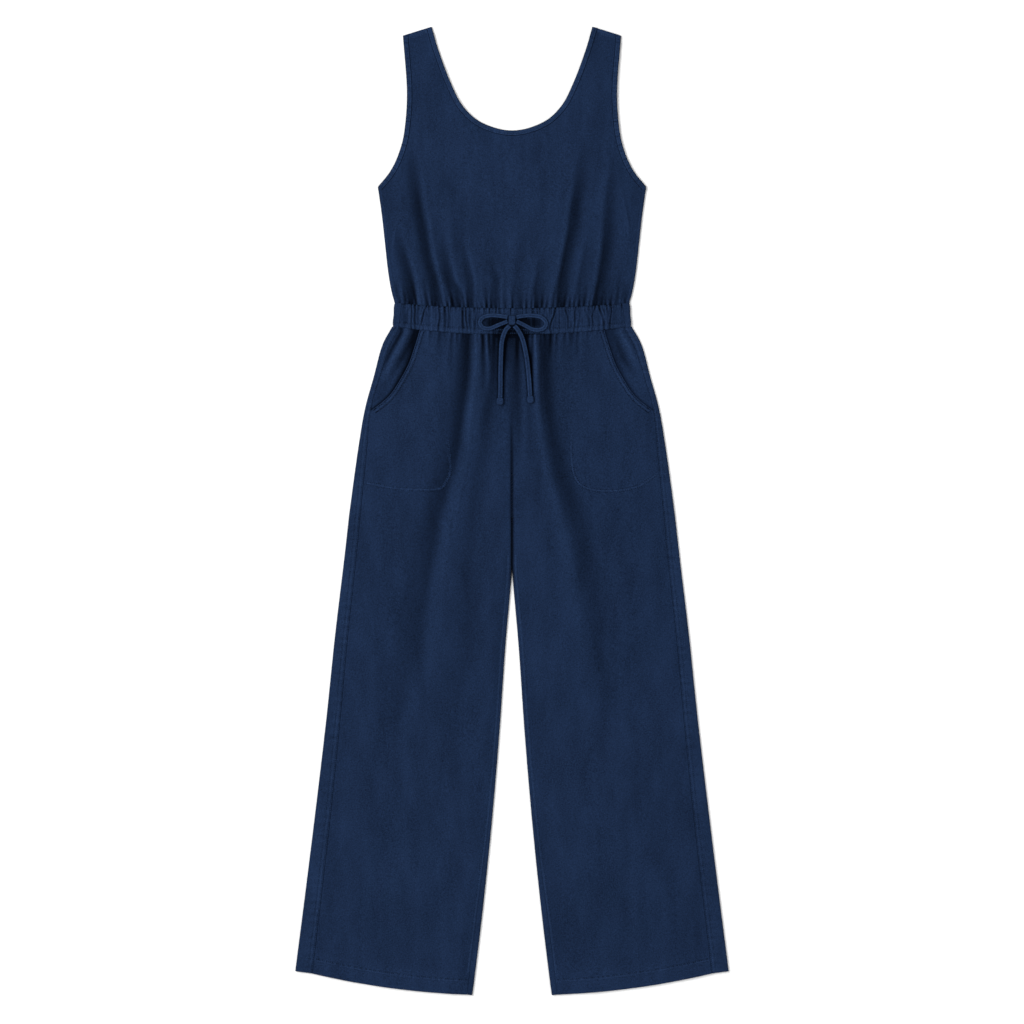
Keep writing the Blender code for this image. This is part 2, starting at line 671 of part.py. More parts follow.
def make_waistband_front():
    outer, inner = [], []
    for v, strength in RUCHE_ROWS:
        half = lerp(BAND_SIDE_SEAM_BOTTOM_X, BAND_SIDE_SEAM_TOP_X, v) - SEAM_GAP / 2
        outer_row, inner_row = [], []
        for k, (u, is_raised) in enumerate(ruche_columns()):
            x = lerp(-half, half, u)
            margin = smooth(min(u, 1 - u) / 0.03)
            x += RUCHE_LEAN * math.sin(1.7 * k) * math.sin(math.pi * v) * margin
            y = lerp(band_bottom_y(x) + SEAM_GAP / 2, band_top_y(x) - SEAM_GAP / 2, v)
            ruche = (RUCHE_RISE if is_raised else -RUCHE_CREASE) * strength * margin
            outer_row.append(Vector((x, y, BAND_TOP_Z + ruche)))
            inner_row.append(Vector((x, y, BAND_TOP_Z - BAND_WALL)))
        outer.append(outer_row)
        inner.append(inner_row)
    return wall_solid("waistband_front", outer, inner)


def make_waistband_back():
    flat_columns = 16
    outer, inner = [], []
    for v in (0.0, 0.5, 1.0):
        seam_x = lerp(BAND_SIDE_SEAM_BOTTOM_X, BAND_SIDE_SEAM_TOP_X, v) + SEAM_GAP / 2
        faces = side_fold(BAND_HALF_WIDTH, seam_x, BAND_FOLD_RADIUS, BAND_WALL)
        flat_half = BAND_HALF_WIDTH - BAND_FOLD_RADIUS
        flat = [lerp(-flat_half, flat_half, k / flat_columns) for k in range(flat_columns + 1)]
        for grid, fold, z in ((outer, faces[0], 0.0), (inner, faces[1], BAND_WALL)):
            section = [(-x, h) for x, h in fold[:-1]] + [(x, z) for x in flat] + fold[:-1][::-1]
            grid.append([
                Vector((x, lerp(band_bottom_y(x) + SEAM_GAP / 2, band_top_y(x) - SEAM_GAP / 2, v), h))
                for x, h in section
            ])
    return wall_solid("waistband_back", outer, inner)


# Legs


def refined(rows):
    """The rows with one more half-way between each two, apart from the hem's own."""
    finer = []
    for k, (p, q) in enumerate(zip(rows, rows[1:])):
        finer.append(p)
        if k < HEM_LINE_ROW:
            finer.append(tuple(lerp(a, b, 0.5) for a, b in zip(p, q)))
    return finer + [rows[-1]]


def row_y(x, outer, inner, index):
    """The y of a leg's row at x, counted from the waist: it follows the waist seam, and bulges at the hem."""
    if index == 0:
        return band_bottom_y(x) - SEAM_GAP / 2
    t = (outer.x - x) / (outer.x - inner.x)
    seam_bend = band_bottom_y(x) - lerp(band_bottom_y(outer.x), band_bottom_y(inner.x), t)
    inside = clamp01(t)
    hem_bend = HEM_BULGE * 4 * inside * (1 - inside)
    return lerp(outer.y, inner.y, t) + seam_bend * smooth(1 - index / 4) - hem_bend * smooth((index - 20) / 4)


def make_leg_front(name, side):
    """side is 1 for the wearer's left leg and -1 for the right."""
    rows = refined(LEG)
    mouth = spline(POCKET_MOUTH, MOUTH_LAST_ROW)
    plan = []
    for r, (y_out, x_out, wrap, y_in, x_in, wrap_in) in enumerate(rows):
        outer = Vector((x_out - wrap - SEAM_GAP / 2, y_out))
        if r < MOUTH_LAST_ROW:
            outer = mouth[r].copy()
        inner = Vector((x_in + wrap_in + SEAM_GAP / 2, y_in))
        row = []
        for c in range(LEG_COLUMNS + 1):
            x = lerp(inner.x, outer.x, c / LEG_COLUMNS)
            row.append(Vector((side * x, row_y(x, outer, inner, r))))
        plan.append(row)
    hem_row = len(rows) - 2

    def lift(r, c):
        return HEM_LIFT if r >= hem_row else 0.0

    return raised_wall(name, plan, leg_z, CLOTH, lift=lift)


def make_leg_back(name, side):
    """The back lies flat and folds round both edges to the side seam and the inseam on the front."""
    flat_columns = 8
    outer_grid, inner_grid = [], []
    for r, (y_out, x_out, wrap, y_in, x_in, wrap_in) in enumerate(LEG):
        has_inner = wrap_in > 0
        outer_faces = side_fold(x_out, x_out - wrap + SEAM_GAP / 2, FOLD_RADIUS, CLOTH)
        inseam_x = x_in + max(wrap_in, FOLD_RADIUS + SEAM_GAP) - SEAM_GAP / 2
        inner_faces = side_fold(x_in, inseam_x, FOLD_RADIUS, CLOTH)
        flat_inner = x_in + FOLD_RADIUS if has_inner else SEAM_GAP / 2
        flat = [lerp(x_out - FOLD_RADIUS, flat_inner, k / flat_columns) for k in range(flat_columns + 1)]
        outer = Vector((x_out - wrap + SEAM_GAP / 2, y_out))
        inner = Vector((x_in + wrap_in - SEAM_GAP / 2, y_in))
        index = 2 * r if r <= HEM_LINE_ROW else 2 * HEM_LINE_ROW + 1
        for k, (grid, z) in enumerate(((outer_grid, 0.0), (inner_grid, CLOTH))):
            section = outer_faces[k][:-1] + [(x, z) for x in flat] + inner_faces[k][:-1][::-1]
            grid.append([Vector((side * x, row_y(x, outer, inner, index), h)) for x, h in section])
    fold_columns = FOLD_STEPS + 1

    def filled(row, column):
        return column < fold_columns + flat_columns or row > CROTCH_ROW

    return wall_solid(name, outer_grid, inner_grid, filled)


def make_pocket_facing(name, side):
    """The pocket's back layer: at the side seam it is level with the front, and it dips under the mouth."""
    mouth = [(p.x, p.y) for p in spline(POCKET_MOUTH, 24)]
    rows = refined(LEG)[: FACING_LAST_ROW + 1]
    seam = [(row[1] - row[2], row[0]) for row in rows]
    high = EDGE_Z + CLOTH - FACING_WALL
    plan = []
    for r, (y_out, x_out, wrap, y_in, _, _) in enumerate(rows):
        outer = Vector((x_out - wrap - SEAM_GAP / 2, y_out))
        inner_y = lerp(y_out, y_in, (outer.x - FACING_INNER_X) / outer.x)
        rounded = smooth((r - FACING_CORNER_ROW) / (FACING_LAST_ROW - FACING_CORNER_ROW))
        row = []
        for c in range(FACING_COLUMNS + 1):
            t = c / FACING_COLUMNS
            x = lerp(outer.x, FACING_INNER_X + FACING_CORNER_INSET * rounded**2 * t**3, t)
            y = row_y(x, outer, Vector((FACING_INNER_X, inner_y)), r)
            if r == FACING_LAST_ROW:
                y += FACING_BOTTOM_LIFT * t**4 - FACING_BOTTOM_SAG * math.sin(math.pi * min(1.0, t * 1.25))
            row.append(Vector((side * x, y)))
        plan.append(row)

    def underside(x, y):
        mouth_x, seam_x = x_on(mouth, y), x_on(seam, y)
        if y < POCKET_MOUTH[-1][1]:
            return FACING_LOW_Z
        open_share = clamp01((abs(x) - mouth_x) / max(seam_x - mouth_x, FACING_RISE_WIDTH))
        z = lerp(FACING_LOW_Z, high, smooth(open_share))
        folds = fold_height(x, y, FACING_FOLDS[side]) * smooth(open_share * 2.5) * smooth((1 - open_share) * 5)
        return soft_floor(z + folds, FACING_LOW_Z, 0.0002)

    return raised_wall(name, plan, underside, FACING_WALL)


# Drawstring


def make_cord(name, points):
    path = spline(points, max(8, len(points) * 2))
    curve = bpy.data.curves.new(name, "CURVE")
    curve.dimensions = "3D"
    curve.bevel_depth = CORD_DIAMETER / 2
    curve.bevel_resolution = 2
    curve.use_fill_caps = True
    line = curve.splines.new("POLY")
    line.points.add(len(path) - 1)
    for point, place in zip(line.points, path):
        point.co = (*place, 1.0)
    curve.materials.append(make_material(name, TRIM_COLOUR, TRIM_ROUGHNESS))
    obj = bpy.data.objects.new(name, curve)
    bpy.context.scene.collection.objects.link(obj)
    return obj


def make_block(name, size, place, turn, round_off):
    """A small rounded block, for the knot and the cord's folded ends."""
    builder = bmesh.new()
    bmesh.ops.create_cube(builder, size=1.0)
    bmesh.ops.scale(builder, vec=size, verts=builder.verts)
    bmesh.ops.bevel(builder, geom=builder.edges[:], offset=round_off, segments=2, profile=0.5, affect="EDGES")
    obj = finish_object(name, builder, TRIM_COLOUR, TRIM_ROUGHNESS)
    obj.location = place
    obj.rotation_euler = (0, 0, turn)
    return obj


def make_tip(name, tail):
    """The folded end of a cord, straight on from its last stretch."""
    last, before = Vector(tail[-1]), Vector(tail[-2])
    way = (last - before).normalized()
    place = last + way * (TIP_SIZE[1] / 2 + SEAM_GAP)
    place.z = last.z + 0.0004
    return make_block(name, TIP_SIZE, place, math.atan2(way.y, way.x) + math.pi / 2, TIP_ROUND)


def main():
    clear_scene()
    make_bodice_front()
    make_bodice_back()
    make_waistband_front()
    make_waistband_back()
    for side, word in ((1, "left"), (-1, "right")):
        make_leg_front("leg_front_" + word, side)
        make_leg_back("leg_back_" + word, side)
        make_pocket_facing("pocket_facing_" + word, side)
    for word, loop, tail in (("left", LOOP_LEFT, TAIL_LEFT), ("right", LOOP_RIGHT, TAIL_RIGHT)):
        make_cord("drawstring_loop_" + word, loop)
        make_cord("drawstring_tail_" + word, tail)
        make_tip("drawstring_tip_" + word, tail)
    make_block("drawstring_knot", KNOT_SIZE, KNOT_PLACE, 0.0, KNOT_ROUND)


main()
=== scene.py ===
"""The look of a sleeveless wide-legged jumpsuit that lies flat, front up, on a pale surface.

Metres, in the frame's own axes: +X towards the wearer's left, +Y to the shoulders, +Z up.
Each front panel is a grid of points over the panel's plan, raised to the height of the gathered
cloth there. Each back lies flat and folds round the sides to its seams on the front.
"""
import math

import bmesh
import bpy
import numpy as np
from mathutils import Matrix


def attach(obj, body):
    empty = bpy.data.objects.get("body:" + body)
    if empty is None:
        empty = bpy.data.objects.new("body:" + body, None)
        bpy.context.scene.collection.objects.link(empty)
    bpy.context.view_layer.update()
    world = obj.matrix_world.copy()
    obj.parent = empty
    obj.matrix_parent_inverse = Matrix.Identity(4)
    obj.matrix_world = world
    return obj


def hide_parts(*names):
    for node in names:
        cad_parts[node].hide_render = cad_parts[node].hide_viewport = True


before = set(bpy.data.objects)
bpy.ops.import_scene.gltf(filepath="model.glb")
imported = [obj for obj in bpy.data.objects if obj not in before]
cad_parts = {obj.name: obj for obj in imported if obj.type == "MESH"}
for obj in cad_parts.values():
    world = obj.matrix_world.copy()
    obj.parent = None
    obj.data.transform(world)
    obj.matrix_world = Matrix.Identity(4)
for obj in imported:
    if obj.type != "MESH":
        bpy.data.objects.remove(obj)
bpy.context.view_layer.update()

# Camera, straight above: the picture's height at the garment, and where its middle is
VIEW_HEIGHT, VIEW_MIDDLE_Y = 1.536, -0.0015
LENS, SENSOR = 120.0, 36.0

# Overall sizes
SHOULDER_Y, HEM_Y = 0.726, -0.7247
CLOTH, SEAM_GAP, FOLD_RADIUS = 0.0012, 0.00006, 0.0025
EDGE_Z = 2 * FOLD_RADIUS - CLOTH
LOWEST_FRONT_Z = CLOTH + 0.0004

# Waistband
BAND_WALL, BAND_FOLD_RADIUS = 0.0022, 0.0035
BAND_TOP_Z = 2 * BAND_FOLD_RADIUS
BAND_HALF_WIDTH = 0.1775
BAND_SEAM_TOP_X, BAND_SEAM_BOTTOM_X = 0.165, 0.170
BAND_TOP_SIDE_Y, BAND_TOP_DIP = 0.312, 0.008
BAND_BOTTOM_SIDE_Y, BAND_BOTTOM_DIP = 0.276, 0.012

# Bound edges and the bodice
BINDING_WIDTH = 0.008
BODICE_WRAP = 0.0055
BODICE_PUFF, BODICE_PUFF_FADE = 0.0074, 0.100
SHOULDER_DROP, SHOULDER_DROP_LENGTH = 0.0019, 0.014
SHOULDER_BAND = 0.0065

# How gathered cloth rises from a waist seam, and flattens towards a side seam
PUFF_START, PUFF_RISE_LENGTH = 0.22, 0.021
SIDE_FLATTENING = 0.020

# How finely a slope is read for a wall's thickness, and the most that it may thicken it
SLOPE_STEP, STEEPEST = 0.0012, 1.6

# Legs
LEG_PUFF, LEG_PUFF_FADE, LEG_PUFF_HALF_WIDTH = 0.0048, 0.110, 0.105
CREASE_DEPTH, CREASE_HALF_WIDTH = 0.0026, 0.0025
CREASE_TOP_Y, CREASE_FADE = 0.17, 0.12
CROTCH_ROW, HEM_LINE_ROW = 5, 12
HEM_BULGE = 0.0058
TOUCHING_X = 0.0030
LEAST_INSEAM_WRAP = 0.0035
MOUTH_LOW_Y = 0.140

# How deep the cloth dips at the waist's seams, and how wide
SEAM_DIP, SEAM_DIP_WIDTH = 0.0006, 0.0016
# How soft the edge of a sewn band is
BAND_EDGE = 0.0012
# Shade behind the bow
BOW_SHADE_HALF = 0.025
TAIL_SHADE, TAIL_SHADE_WIDTH, TAIL_SHADE_SHIFT = 0.75, 0.0058, 0.0012

# Side outline of the bodice from the waist to the underarm: x, y
BODICE_SIDE = (
    (0.176, 0.312), (0.181, 0.331), (0.186, 0.361), (0.191, 0.406), (0.1955, 0.446), (0.2005, 0.481),
)
# Armhole edge from the underarm to the shoulder: x, y
ARMHOLE = (
    (0.201, 0.486), (0.182, 0.510), (0.169, 0.538), (0.161, 0.572), (0.1575, 0.630), (0.1635, 0.7125),
)
# Neck edge from its lowest point to the shoulder: x, y
NECK = (
    (0.0, 0.5702), (0.044, 0.5815), (0.073, 0.6060), (0.092, 0.642), (0.110, 0.690), (0.1205, SHOULDER_Y),
)
NECK_SPLIT_Y = 0.6060

# Leg sections from the waist seam to the hem: outer edge y and x, side seam's inset from it,
# inner edge y and x, inseam's inset from it (none above the crotch)
LEG = (
    (0.2747, 0.1797, 0.0125, 0.264, 0.0, 0.0),
    (0.246, 0.1950, 0.0115, 0.236, 0.0, 0.0),
    (0.200, 0.2075, 0.0095, 0.190, 0.0, 0.0),
    (0.150, 0.2210, 0.0090, 0.135, 0.0, 0.0),
    (0.085, 0.2317, 0.0137, 0.065, 0.0, 0.0),
    (-0.005, 0.2441, 0.0171, -0.010, 0.0, 0.0),
    (-0.0054, 0.24415, 0.0171, -0.0104, 0.0001, 0.0035),
    (-0.075, 0.2519, 0.0182, -0.085, 0.0001, 0.0035),
    (-0.190, 0.2656, 0.0196, -0.205, 0.0101, 0.0035),
    (-0.315, 0.2786, 0.0211, -0.335, 0.0191, 0.0035),
    (-0.450, 0.2945, 0.0235, -0.470, 0.0306, 0.0045),
    (-0.570, 0.3093, 0.0248, -0.595, 0.0436, 0.0080),
    (-0.667, 0.3216, 0.0256, -0.699, 0.0562, 0.0085),
    (-0.6932, 0.3249, 0.0259, HEM_Y, 0.0597, 0.0080),
)
# Pocket mouth from the waist seam to the side seam: x, y
POCKET_MOUTH = (
    (0.1385, 0.2705), (0.146, 0.246), (0.155, 0.2205), (0.1675, 0.197), (0.1805, 0.177), (0.194, 0.1635),
    (0.2118, 0.150),
)
MOUTH_ROWS = 3
MOUTH_BAND = 0.0082
MOUTH_STITCHES = 0.0016, 0.0066
BAG_STITCH_AWAY = 0.0018

# Folds, in millimetres: path away from the seam, half-width at each end, depth at its start, middle
# and end, and the side with the steep wall: 1 is +X, -1 is -X, 0 is neither
BODICE_FOLDS = (
    (((-169, 313), (-172.5, 330), (-174.5, 350)), 4, 5, 3, 2, 0, 1),
    (((-148.5, 312), (-150, 331.5), (-153, 349.5), (-160, 376.5), (-168, 403.5), (-171, 430)),
      6.5, 7, 6.2, 4.2, 0, 1),
    (((-111, 311), (-114, 331.5), (-117, 349.5), (-126, 385.5), (-132, 421.5), (-139.5, 457.5),
      (-144, 493.5), (-148.5, 529.5), (-152, 560)), 6, 8.5, 5.6, 6, 0, 1),
    (((-79, 309), (-82.5, 331.5), (-91.5, 349.5), (-100.5, 385.5), (-105, 403.5), (-107, 450)),
      5.5, 8, 5.6, 2.6, 0, 1),
    (((-90, 445), (-95, 480), (-102, 520)), 10, 10, 0, 1.2, 0, 0),
    (((-60, 308), (-61, 331.5), (-63, 349.5), (-72, 385.5), (-75, 403.5), (-75, 439.5), (-78, 485.5)),
      4.5, 8, 4.8, 2, 0, 1),
    (((-24, 305), (-24, 331.5), (-22.5, 349.5), (-30, 367.5), (-34, 395)), 4.5, 7, 4.4, 2.2, 0, 1),
    (((7, 304), (7.5, 331.5), (13.5, 403.5), (15, 425)), 5.5, 9, 2.2, 1.5, 0, -1),
    (((36.5, 305), (37.5, 331.5), (40.5, 349.5), (43.5, 367.5), (48, 395)), 5, 7, 5.6, 2.6, 0, -1),
    (((70, 307), (72, 331.5), (75, 349.5), (82.5, 385.5), (90, 421.5), (94.5, 457.5), (99, 481.5),
      (103.5, 529.5), (106, 565)), 5.8, 8.5, 5.8, 5.4, 0, -1),
    (((101.5, 309), (103.5, 331.5), (105, 349.5), (111, 385.5), (116.5, 415)), 4.5, 7, 3.8, 1.8, 0, -1),
    (((127, 310), (129, 331.5), (133.5, 349.5), (139.5, 385.5), (144, 421.5), (145.5, 457.5),
      (148, 484.5), (152, 511.5), (153, 545)), 5.8, 8.5, 5.8, 4.4, 0, -1),
    (((140, 311), (142.5, 331.5), (147.5, 355)), 3.5, 5, 3.6, 1.8, 0, -1),
    (((168.5, 313), (171, 331.5), (172.5, 345)), 4, 5, 3.4, 1.8, 0, -1),
    (((-166, 460), (-177, 410), (-181, 365)), 1.8, 2, 0, -2.6, 0, 0),
    (((160, 495), (174, 430), (175.5, 390)), 1.8, 2, 0, -2.6, 0, 0),
)
LEG_FOLDS = (
    (((-65.5, 268), (-66.5, 241.5), (-69, 199.5), (-75, 157.5), (-81, 115.5), (-88, 80), (-99, 45),
      (-107, 15), (-117, -25), (-127, -80), (-139, -150), (-148.5, -217.5), (-163.5, -274.5),
      (-177, -331.5), (-190, -390)), 6.8, 22, 7.2, 3.4, 0, 1),
    (((-27, 268), (-26.5, 241.5), (-25.5, 220.5), (-28.5, 178.5), (-34.5, 145), (-39, 120)),
      6, 8, 6.2, 4, 0, -1),
    (((-33, 230), (-38.4, 156), (-43.3, 82), (-58, 3), (-63, -66), (-65.4, -164.4), (-88.5, -331.5),
      (-118.5, -445.5)), 8.5, 18, 2.2, 2.6, 0, 0),
    (((-11.3, 267), (-10.8, 240), (-10.5, 200)), 5, 6, 4, 2.4, 0, -1),
    (((7, 267), (8, 220.5), (9, 157.5), (9.5, 100), (10, 55)), 6.8, 8, 5.2, 3.6, 0, 1),
    (((22.5, 268), (24, 241.5), (27, 210), (31.5, 160)), 5.5, 7, 5, 2.4, 0, 1),
    (((30.6, 249.5), (28.2, 156), (38, 57.3), (47.9, -16.5), (67.5, -115)), 9, 14, 0.6, 1.8, 0, 0),
    (((38.5, 268), (38, 250), (37, 230)), 3.5, 5, 4, 1.8, 0, -1),
    (((49.5, 268), (49, 241.5), (48.5, 199.5), (52, 157.5), (59, 115), (69, 65), (83, 20), (96, -25),
      (108, -80), (121, -150), (134, -217.5), (144, -274.5), (156, -350)), 7.6, 21, 7, 3.4, 0, -1),
    (((90, 268.5), (88, 241.5), (85.5, 210), (90, 170)), 6.5, 9, 2.6, 1.2, 0, 0),
    (((-100.5, 268.5), (-102, 250), (-104, 230)), 4.5, 6, 2.6, 1, 0, 1),
    (((-63, 105), (-69, 60), (-80, 10), (-88.5, -50)), 1.6, 1.8, 0, -1, 0, 0),
    (((-4.5, -90), (-11, -160.5), (-16.5, -274.5), (-28.5, -388.5)), 12, 14, 0, 1.4, 0, 0),
    (((-190, 125), (-178, 50), (-180, -50), (-198, -200)), 14, 20, 0, 1.2, 0, 0),
    (((170, 130), (162, 50), (170, -50), (190, -240)), 14, 22, 0, 1.2, 0, 0),
)
# The facing's folds, for the wearer's right and left pocket: a ridge, then the fold under the mouth
FACING_FOLDS = {
    -1: (
        (((-157.5, 268), (-170, 240), (-196, 190)), 5.5, 7, -3.2, -2.6, 0, 0),
        (((-148, 268), (-160, 240), (-184, 200)), 5, 7, 2.2, 2, 0, 0),
        (((-165, 268), (-183, 236), (-200, 200)), 4, 5, 2.2, 1.6, 0, 0),
    ),
    1: (
        (((164, 268), (176, 244), (190, 210)), 5.5, 6, -1.6, -1.2, 0, 0),
        (((150, 268), (164, 236), (186, 196)), 5.5, 7, 1.2, 1.2, 0, 0),
        (((169, 268), (183, 244), (196, 214)), 3.5, 4, 1.2, 0.8, 0, 0),
    ),
}
# Short gathers beside the waistband, in millimetres: place, lean away from the seam (a slope),
# half-width, length and depth
BODICE_GATHERS = (
    (-159.5, -0.1, 1.8, 20, 2), (-143, -0.16, 1.6, 26, 2.4), (-134, -0.1, 1.4, 14, 1.8),
    (-126.5, -0.14, 1.8, 30, 2.6), (-119, -0.1, 1.3, 16, 1.8), (-104, -0.16, 1.6, 24, 2.2),
    (-96, -0.12, 1.4, 17, 2), (-88, -0.2, 2, 32, 3), (-71.5, -0.14, 1.9, 34, 3),
    (-65.5, -0.1, 1.3, 16, 2), (-52, -0.1, 1.6, 22, 2.2), (-45, -0.12, 1.3, 13, 1.6),
    (-37.5, -0.08, 1.8, 30, 2.6), (-31, -0.05, 1.2, 13, 1.8), (-18.5, -0.04, 1.6, 24, 2.4),
    (-10, 0, 1.3, 15, 1.8), (1, 0.02, 1.5, 26, 2.2), (12.5, 0.05, 1.5, 18, 2), (21.5, 0.06, 1.3, 13, 1.8),
    (29, 0.08, 1.7, 26, 2.4), (44.5, 0.1, 1.8, 24, 2.6), (51.5, 0.12, 1.3, 15, 1.8),
    (61, 0.12, 1.9, 36, 3), (78, 0.14, 1.6, 24, 2.4), (85.5, 0.12, 1.3, 14, 1.8),
    (93, 0.16, 1.8, 28, 2.6), (107.5, 0.16, 1.6, 22, 2.2), (116, 0.16, 1.5, 30, 2.4),
    (121.5, 0.1, 1.2, 13, 1.8), (134, 0.14, 1.7, 24, 2.4), (148, 0.14, 1.6, 18, 2.2),
    (157, 0.1, 1.8, 28, 2.2), (163, 0.1, 1.3, 14, 1.8),
)
LEG_GATHERS = (
    (-120.5, -0.04, 1.8, 14, 0.8), (-107.5, -0.05, 2.1, 24, 1.4), (-96, -0.04, 1.4, 13, 1),
    (-89.2, -0.06, 2, 40, 1.8), (-81.2, -0.05, 1.4, 16, 1.4), (-73.5, -0.04, 1.2, 13, 1.2),
    (-58.5, 0.02, 1.8, 34, 1.8), (-51, 0.02, 1.3, 16, 1.4), (-43.8, 0.04, 2.4, 66, 3.6),
    (-34.5, 0.03, 1.7, 36, 2.8), (-20, 0.03, 1.6, 54, 2.4), (8, 0, 1.6, 40, 2), (16, 0, 1.4, 30, 1.8),
    (31.2, -0.03, 2, 60, 3.6), (43.2, -0.02, 1.4, 20, 2), (58, -0.02, 1.8, 26, 2),
    (67.2, -0.03, 1.4, 34, 1.8), (79.5, -0.04, 2, 22, 1.6), (90.5, -0.03, 1.4, 12, 1),
    (98.5, -0.03, 1.7, 30, 1.3), (113, 0.02, 1.4, 12, 1),
)
# Creases of the gathered waistband: depth share, the height shares that it runs between (1 is the
# top seam), and its x in millimetres at even steps down
BAND_CREASES = (
    (0.4, 0.95, 0.1, (-153.8, -156.9, -159.9)), (0.55, 1, 0.05, (-150.3, -150.3, -150.3)),
    (0.95, 1, 0, (-145.2, -144.9, -144.6)), (0.55, 1, 0.05, (-139.8, -140.7, -141)),
    (0.85, 1, 0, (-127.5, -134.3, -138)), (0.75, 1, 0.05, (-108, -108.6, -109.5)),
    (0.3, 0.95, 0.4, (-113, -113.4)), (0.45, 1, 0.1, (-100.2, -99.6, -99)),
    (0.65, 1, 0.1, (-94.2, -94.5, -93.5)), (0.8, 0.95, 0.1, (-75, -73.5, -72)),
    (0.95, 1, 0, (-69.6, -67.8, -66)), (0.65, 0.95, 0, (-62.3, -62, -61.7)),
    (0.65, 0.55, 0, (-56, -56.3, -56.5)), (0.45, 0.95, 0.3, (-54, -54)), (0.5, 1, 0.65, (-42.2, -42.4)),
    (0.6, 1, 0.65, (-37.5, -37.8)), (0.6, 1, 0.65, (-33, -33.2)), (0.5, 1, 0.65, (-28.8, -28.5)),
    (0.4, 1, 0.65, (-22.7, -23)), (0.4, 1, 0.65, (-18, -18)), (0.55, 1, 0.6, (21.6, 21.8)),
    (0.45, 1, 0.6, (31, 31.2)), (0.65, 1, 0.6, (38, 38.2)), (0.45, 1, 0.5, (46.5, 47)),
    (0.4, 1, 0.45, (51.5, 52.2)), (0.95, 1, 0, (65.7, 63.1, 59.4, 57.5, 58.8)),
    (0.3, 0.95, 0.1, (71.4, 71.6, 72.5)), (0.55, 0.95, 0, (80.3, 84, 85.8)), (0.55, 0.45, 0, (89, 88.7)),
    (0.75, 1, 0, (96, 94, 93.5)), (0.55, 1, 0.05, (101, 101, 100.5)), (0.4, 1, 0.3, (104.3, 105.5)),
    (0.3, 0.95, 0.1, (108.6, 114.2, 119.3)), (0.5, 1, 0.15, (125, 120.6, 121.2)),
    (0.95, 1, 0, (130.5, 134.4, 137, 139.5)), (0.6, 1, 0.1, (135.6, 139.5, 140.7)),
    (0.55, 1, 0.05, (141.9, 144.5, 145.8)), (0.8, 1, 0.05, (149, 148.2, 147)),
)

# Drawstring centrelines: x, y, z. Loops leave the knot high and come back low; tails lie on the legs
LOOP_LEFT = (
    (0.0068, 0.2900, 0.0138), (0.0190, 0.2922, 0.0128), (0.0315, 0.2925, 0.0116),
    (0.0440, 0.2898, 0.0110), (0.0510, 0.2817, 0.0110), (0.0480, 0.2740, 0.0110),
    (0.0400, 0.2712, 0.0110), (0.0300, 0.2722, 0.0110), (0.0180, 0.2785, 0.0110),
    (0.0068, 0.2838, 0.0112),
)
LOOP_RIGHT = (
    (-0.0068, 0.2900, 0.0138), (-0.0200, 0.2922, 0.0126), (-0.0330, 0.2928, 0.0114),
    (-0.0440, 0.2892, 0.0110), (-0.0480, 0.2817, 0.0110), (-0.0430, 0.2745, 0.0110),
    (-0.0330, 0.2733, 0.0110), (-0.0200, 0.2785, 0.0110), (-0.0068, 0.2838, 0.0112),
)
TAIL_LEFT = (
    (0.0036, 0.2770, 0.0128), (0.0095, 0.2700, 0.0122), (0.0162, 0.2560, 0.0122),
    (0.0215, 0.2320, 0.0120), (0.0246, 0.2070, 0.0112), (0.0266, 0.1820, 0.0104),
    (0.0272, 0.1725, 0.0102),
)
TAIL_RIGHT = (
    (-0.0036, 0.2770, 0.0128), (-0.0098, 0.2700, 0.0122), (-0.0150, 0.2544, 0.0122),
    (-0.0165, 0.2320, 0.0120), (-0.0171, 0.2070, 0.0112), (-0.0173, 0.1820, 0.0104),
    (-0.0177, 0.1700, 0.0102),
)
LOOP_WIDTH, TAIL_WIDTH, TIE_THICKNESS = 0.0060, 0.0068, 0.0030
KNOT_PLACE, KNOT_SIZE, KNOT_PINCH = (0.0, 0.2855, 0.0122), (0.0108, 0.0142, 0.0076), 0.08
TIP_LENGTH, TIP_WIDTH, TIP_HEIGHT, TIP_RISE = 0.0110, 0.0098, 0.0048, 0.0004


# Curves and blending

MIRROR_X = np.array([-1.0, 1.0, 1.0])


def clamp01(value):
    return np.clip(value, 0.0, 1.0)


def smooth(value):
    t = clamp01(value)
    return t * t * (3 - 2 * t)


def lerp(a, b, t):
    return a + (b - a) * t


def bell(value, width, power=2):
    """1 where the value is 0, falling to 0 on both sides beyond the width."""
    return np.exp(-np.abs(value / width) ** power)


def two_bells(value, away, width):
    return bell(value - away, width) + bell(value + away, width)


def unit(rows):
    """Each row as a direction of length 1."""
    return rows / np.linalg.norm(rows, axis=1)[:, None]


def soft_floor(value, floor, softness=0.0006):
    """The value, eased so that it never falls below the floor."""
    return floor + softness * np.logaddexp(0, (value - floor) / softness)


def run_along(line):
    """The length run at each point of a line."""
    return np.concatenate([[0.0], np.cumsum(np.linalg.norm(np.diff(line, axis=0), axis=1))])


def resample(line, shares):
    """Points at the given shares of a line's length."""
    along = run_along(line)
    at = np.asarray(shares) * along[-1]
    return np.stack([np.interp(at, along, line[:, k]) for k in range(line.shape[1])], axis=-1)


def smooth_path(points, steps=24, before=None):
    """A fine path on a smooth curve through the points, which may come from a point before them."""
    p = np.array(points, float)
    p = np.vstack([2 * p[0] - p[1] if before is None else before, p, 2 * p[-1] - p[-2]])
    t = (np.arange(steps) / steps)[:, None]
    runs = [
        0.5 * (2 * b + (c - a) * t + (2 * a - 5 * b + 4 * c - d) * t**2 + (3 * b + d - a - 3 * c) * t**3)
        for a, b, c, d in zip(p, p[1:], p[2:], p[3:])
    ]
    return np.vstack(runs + [p[-2:-1]])


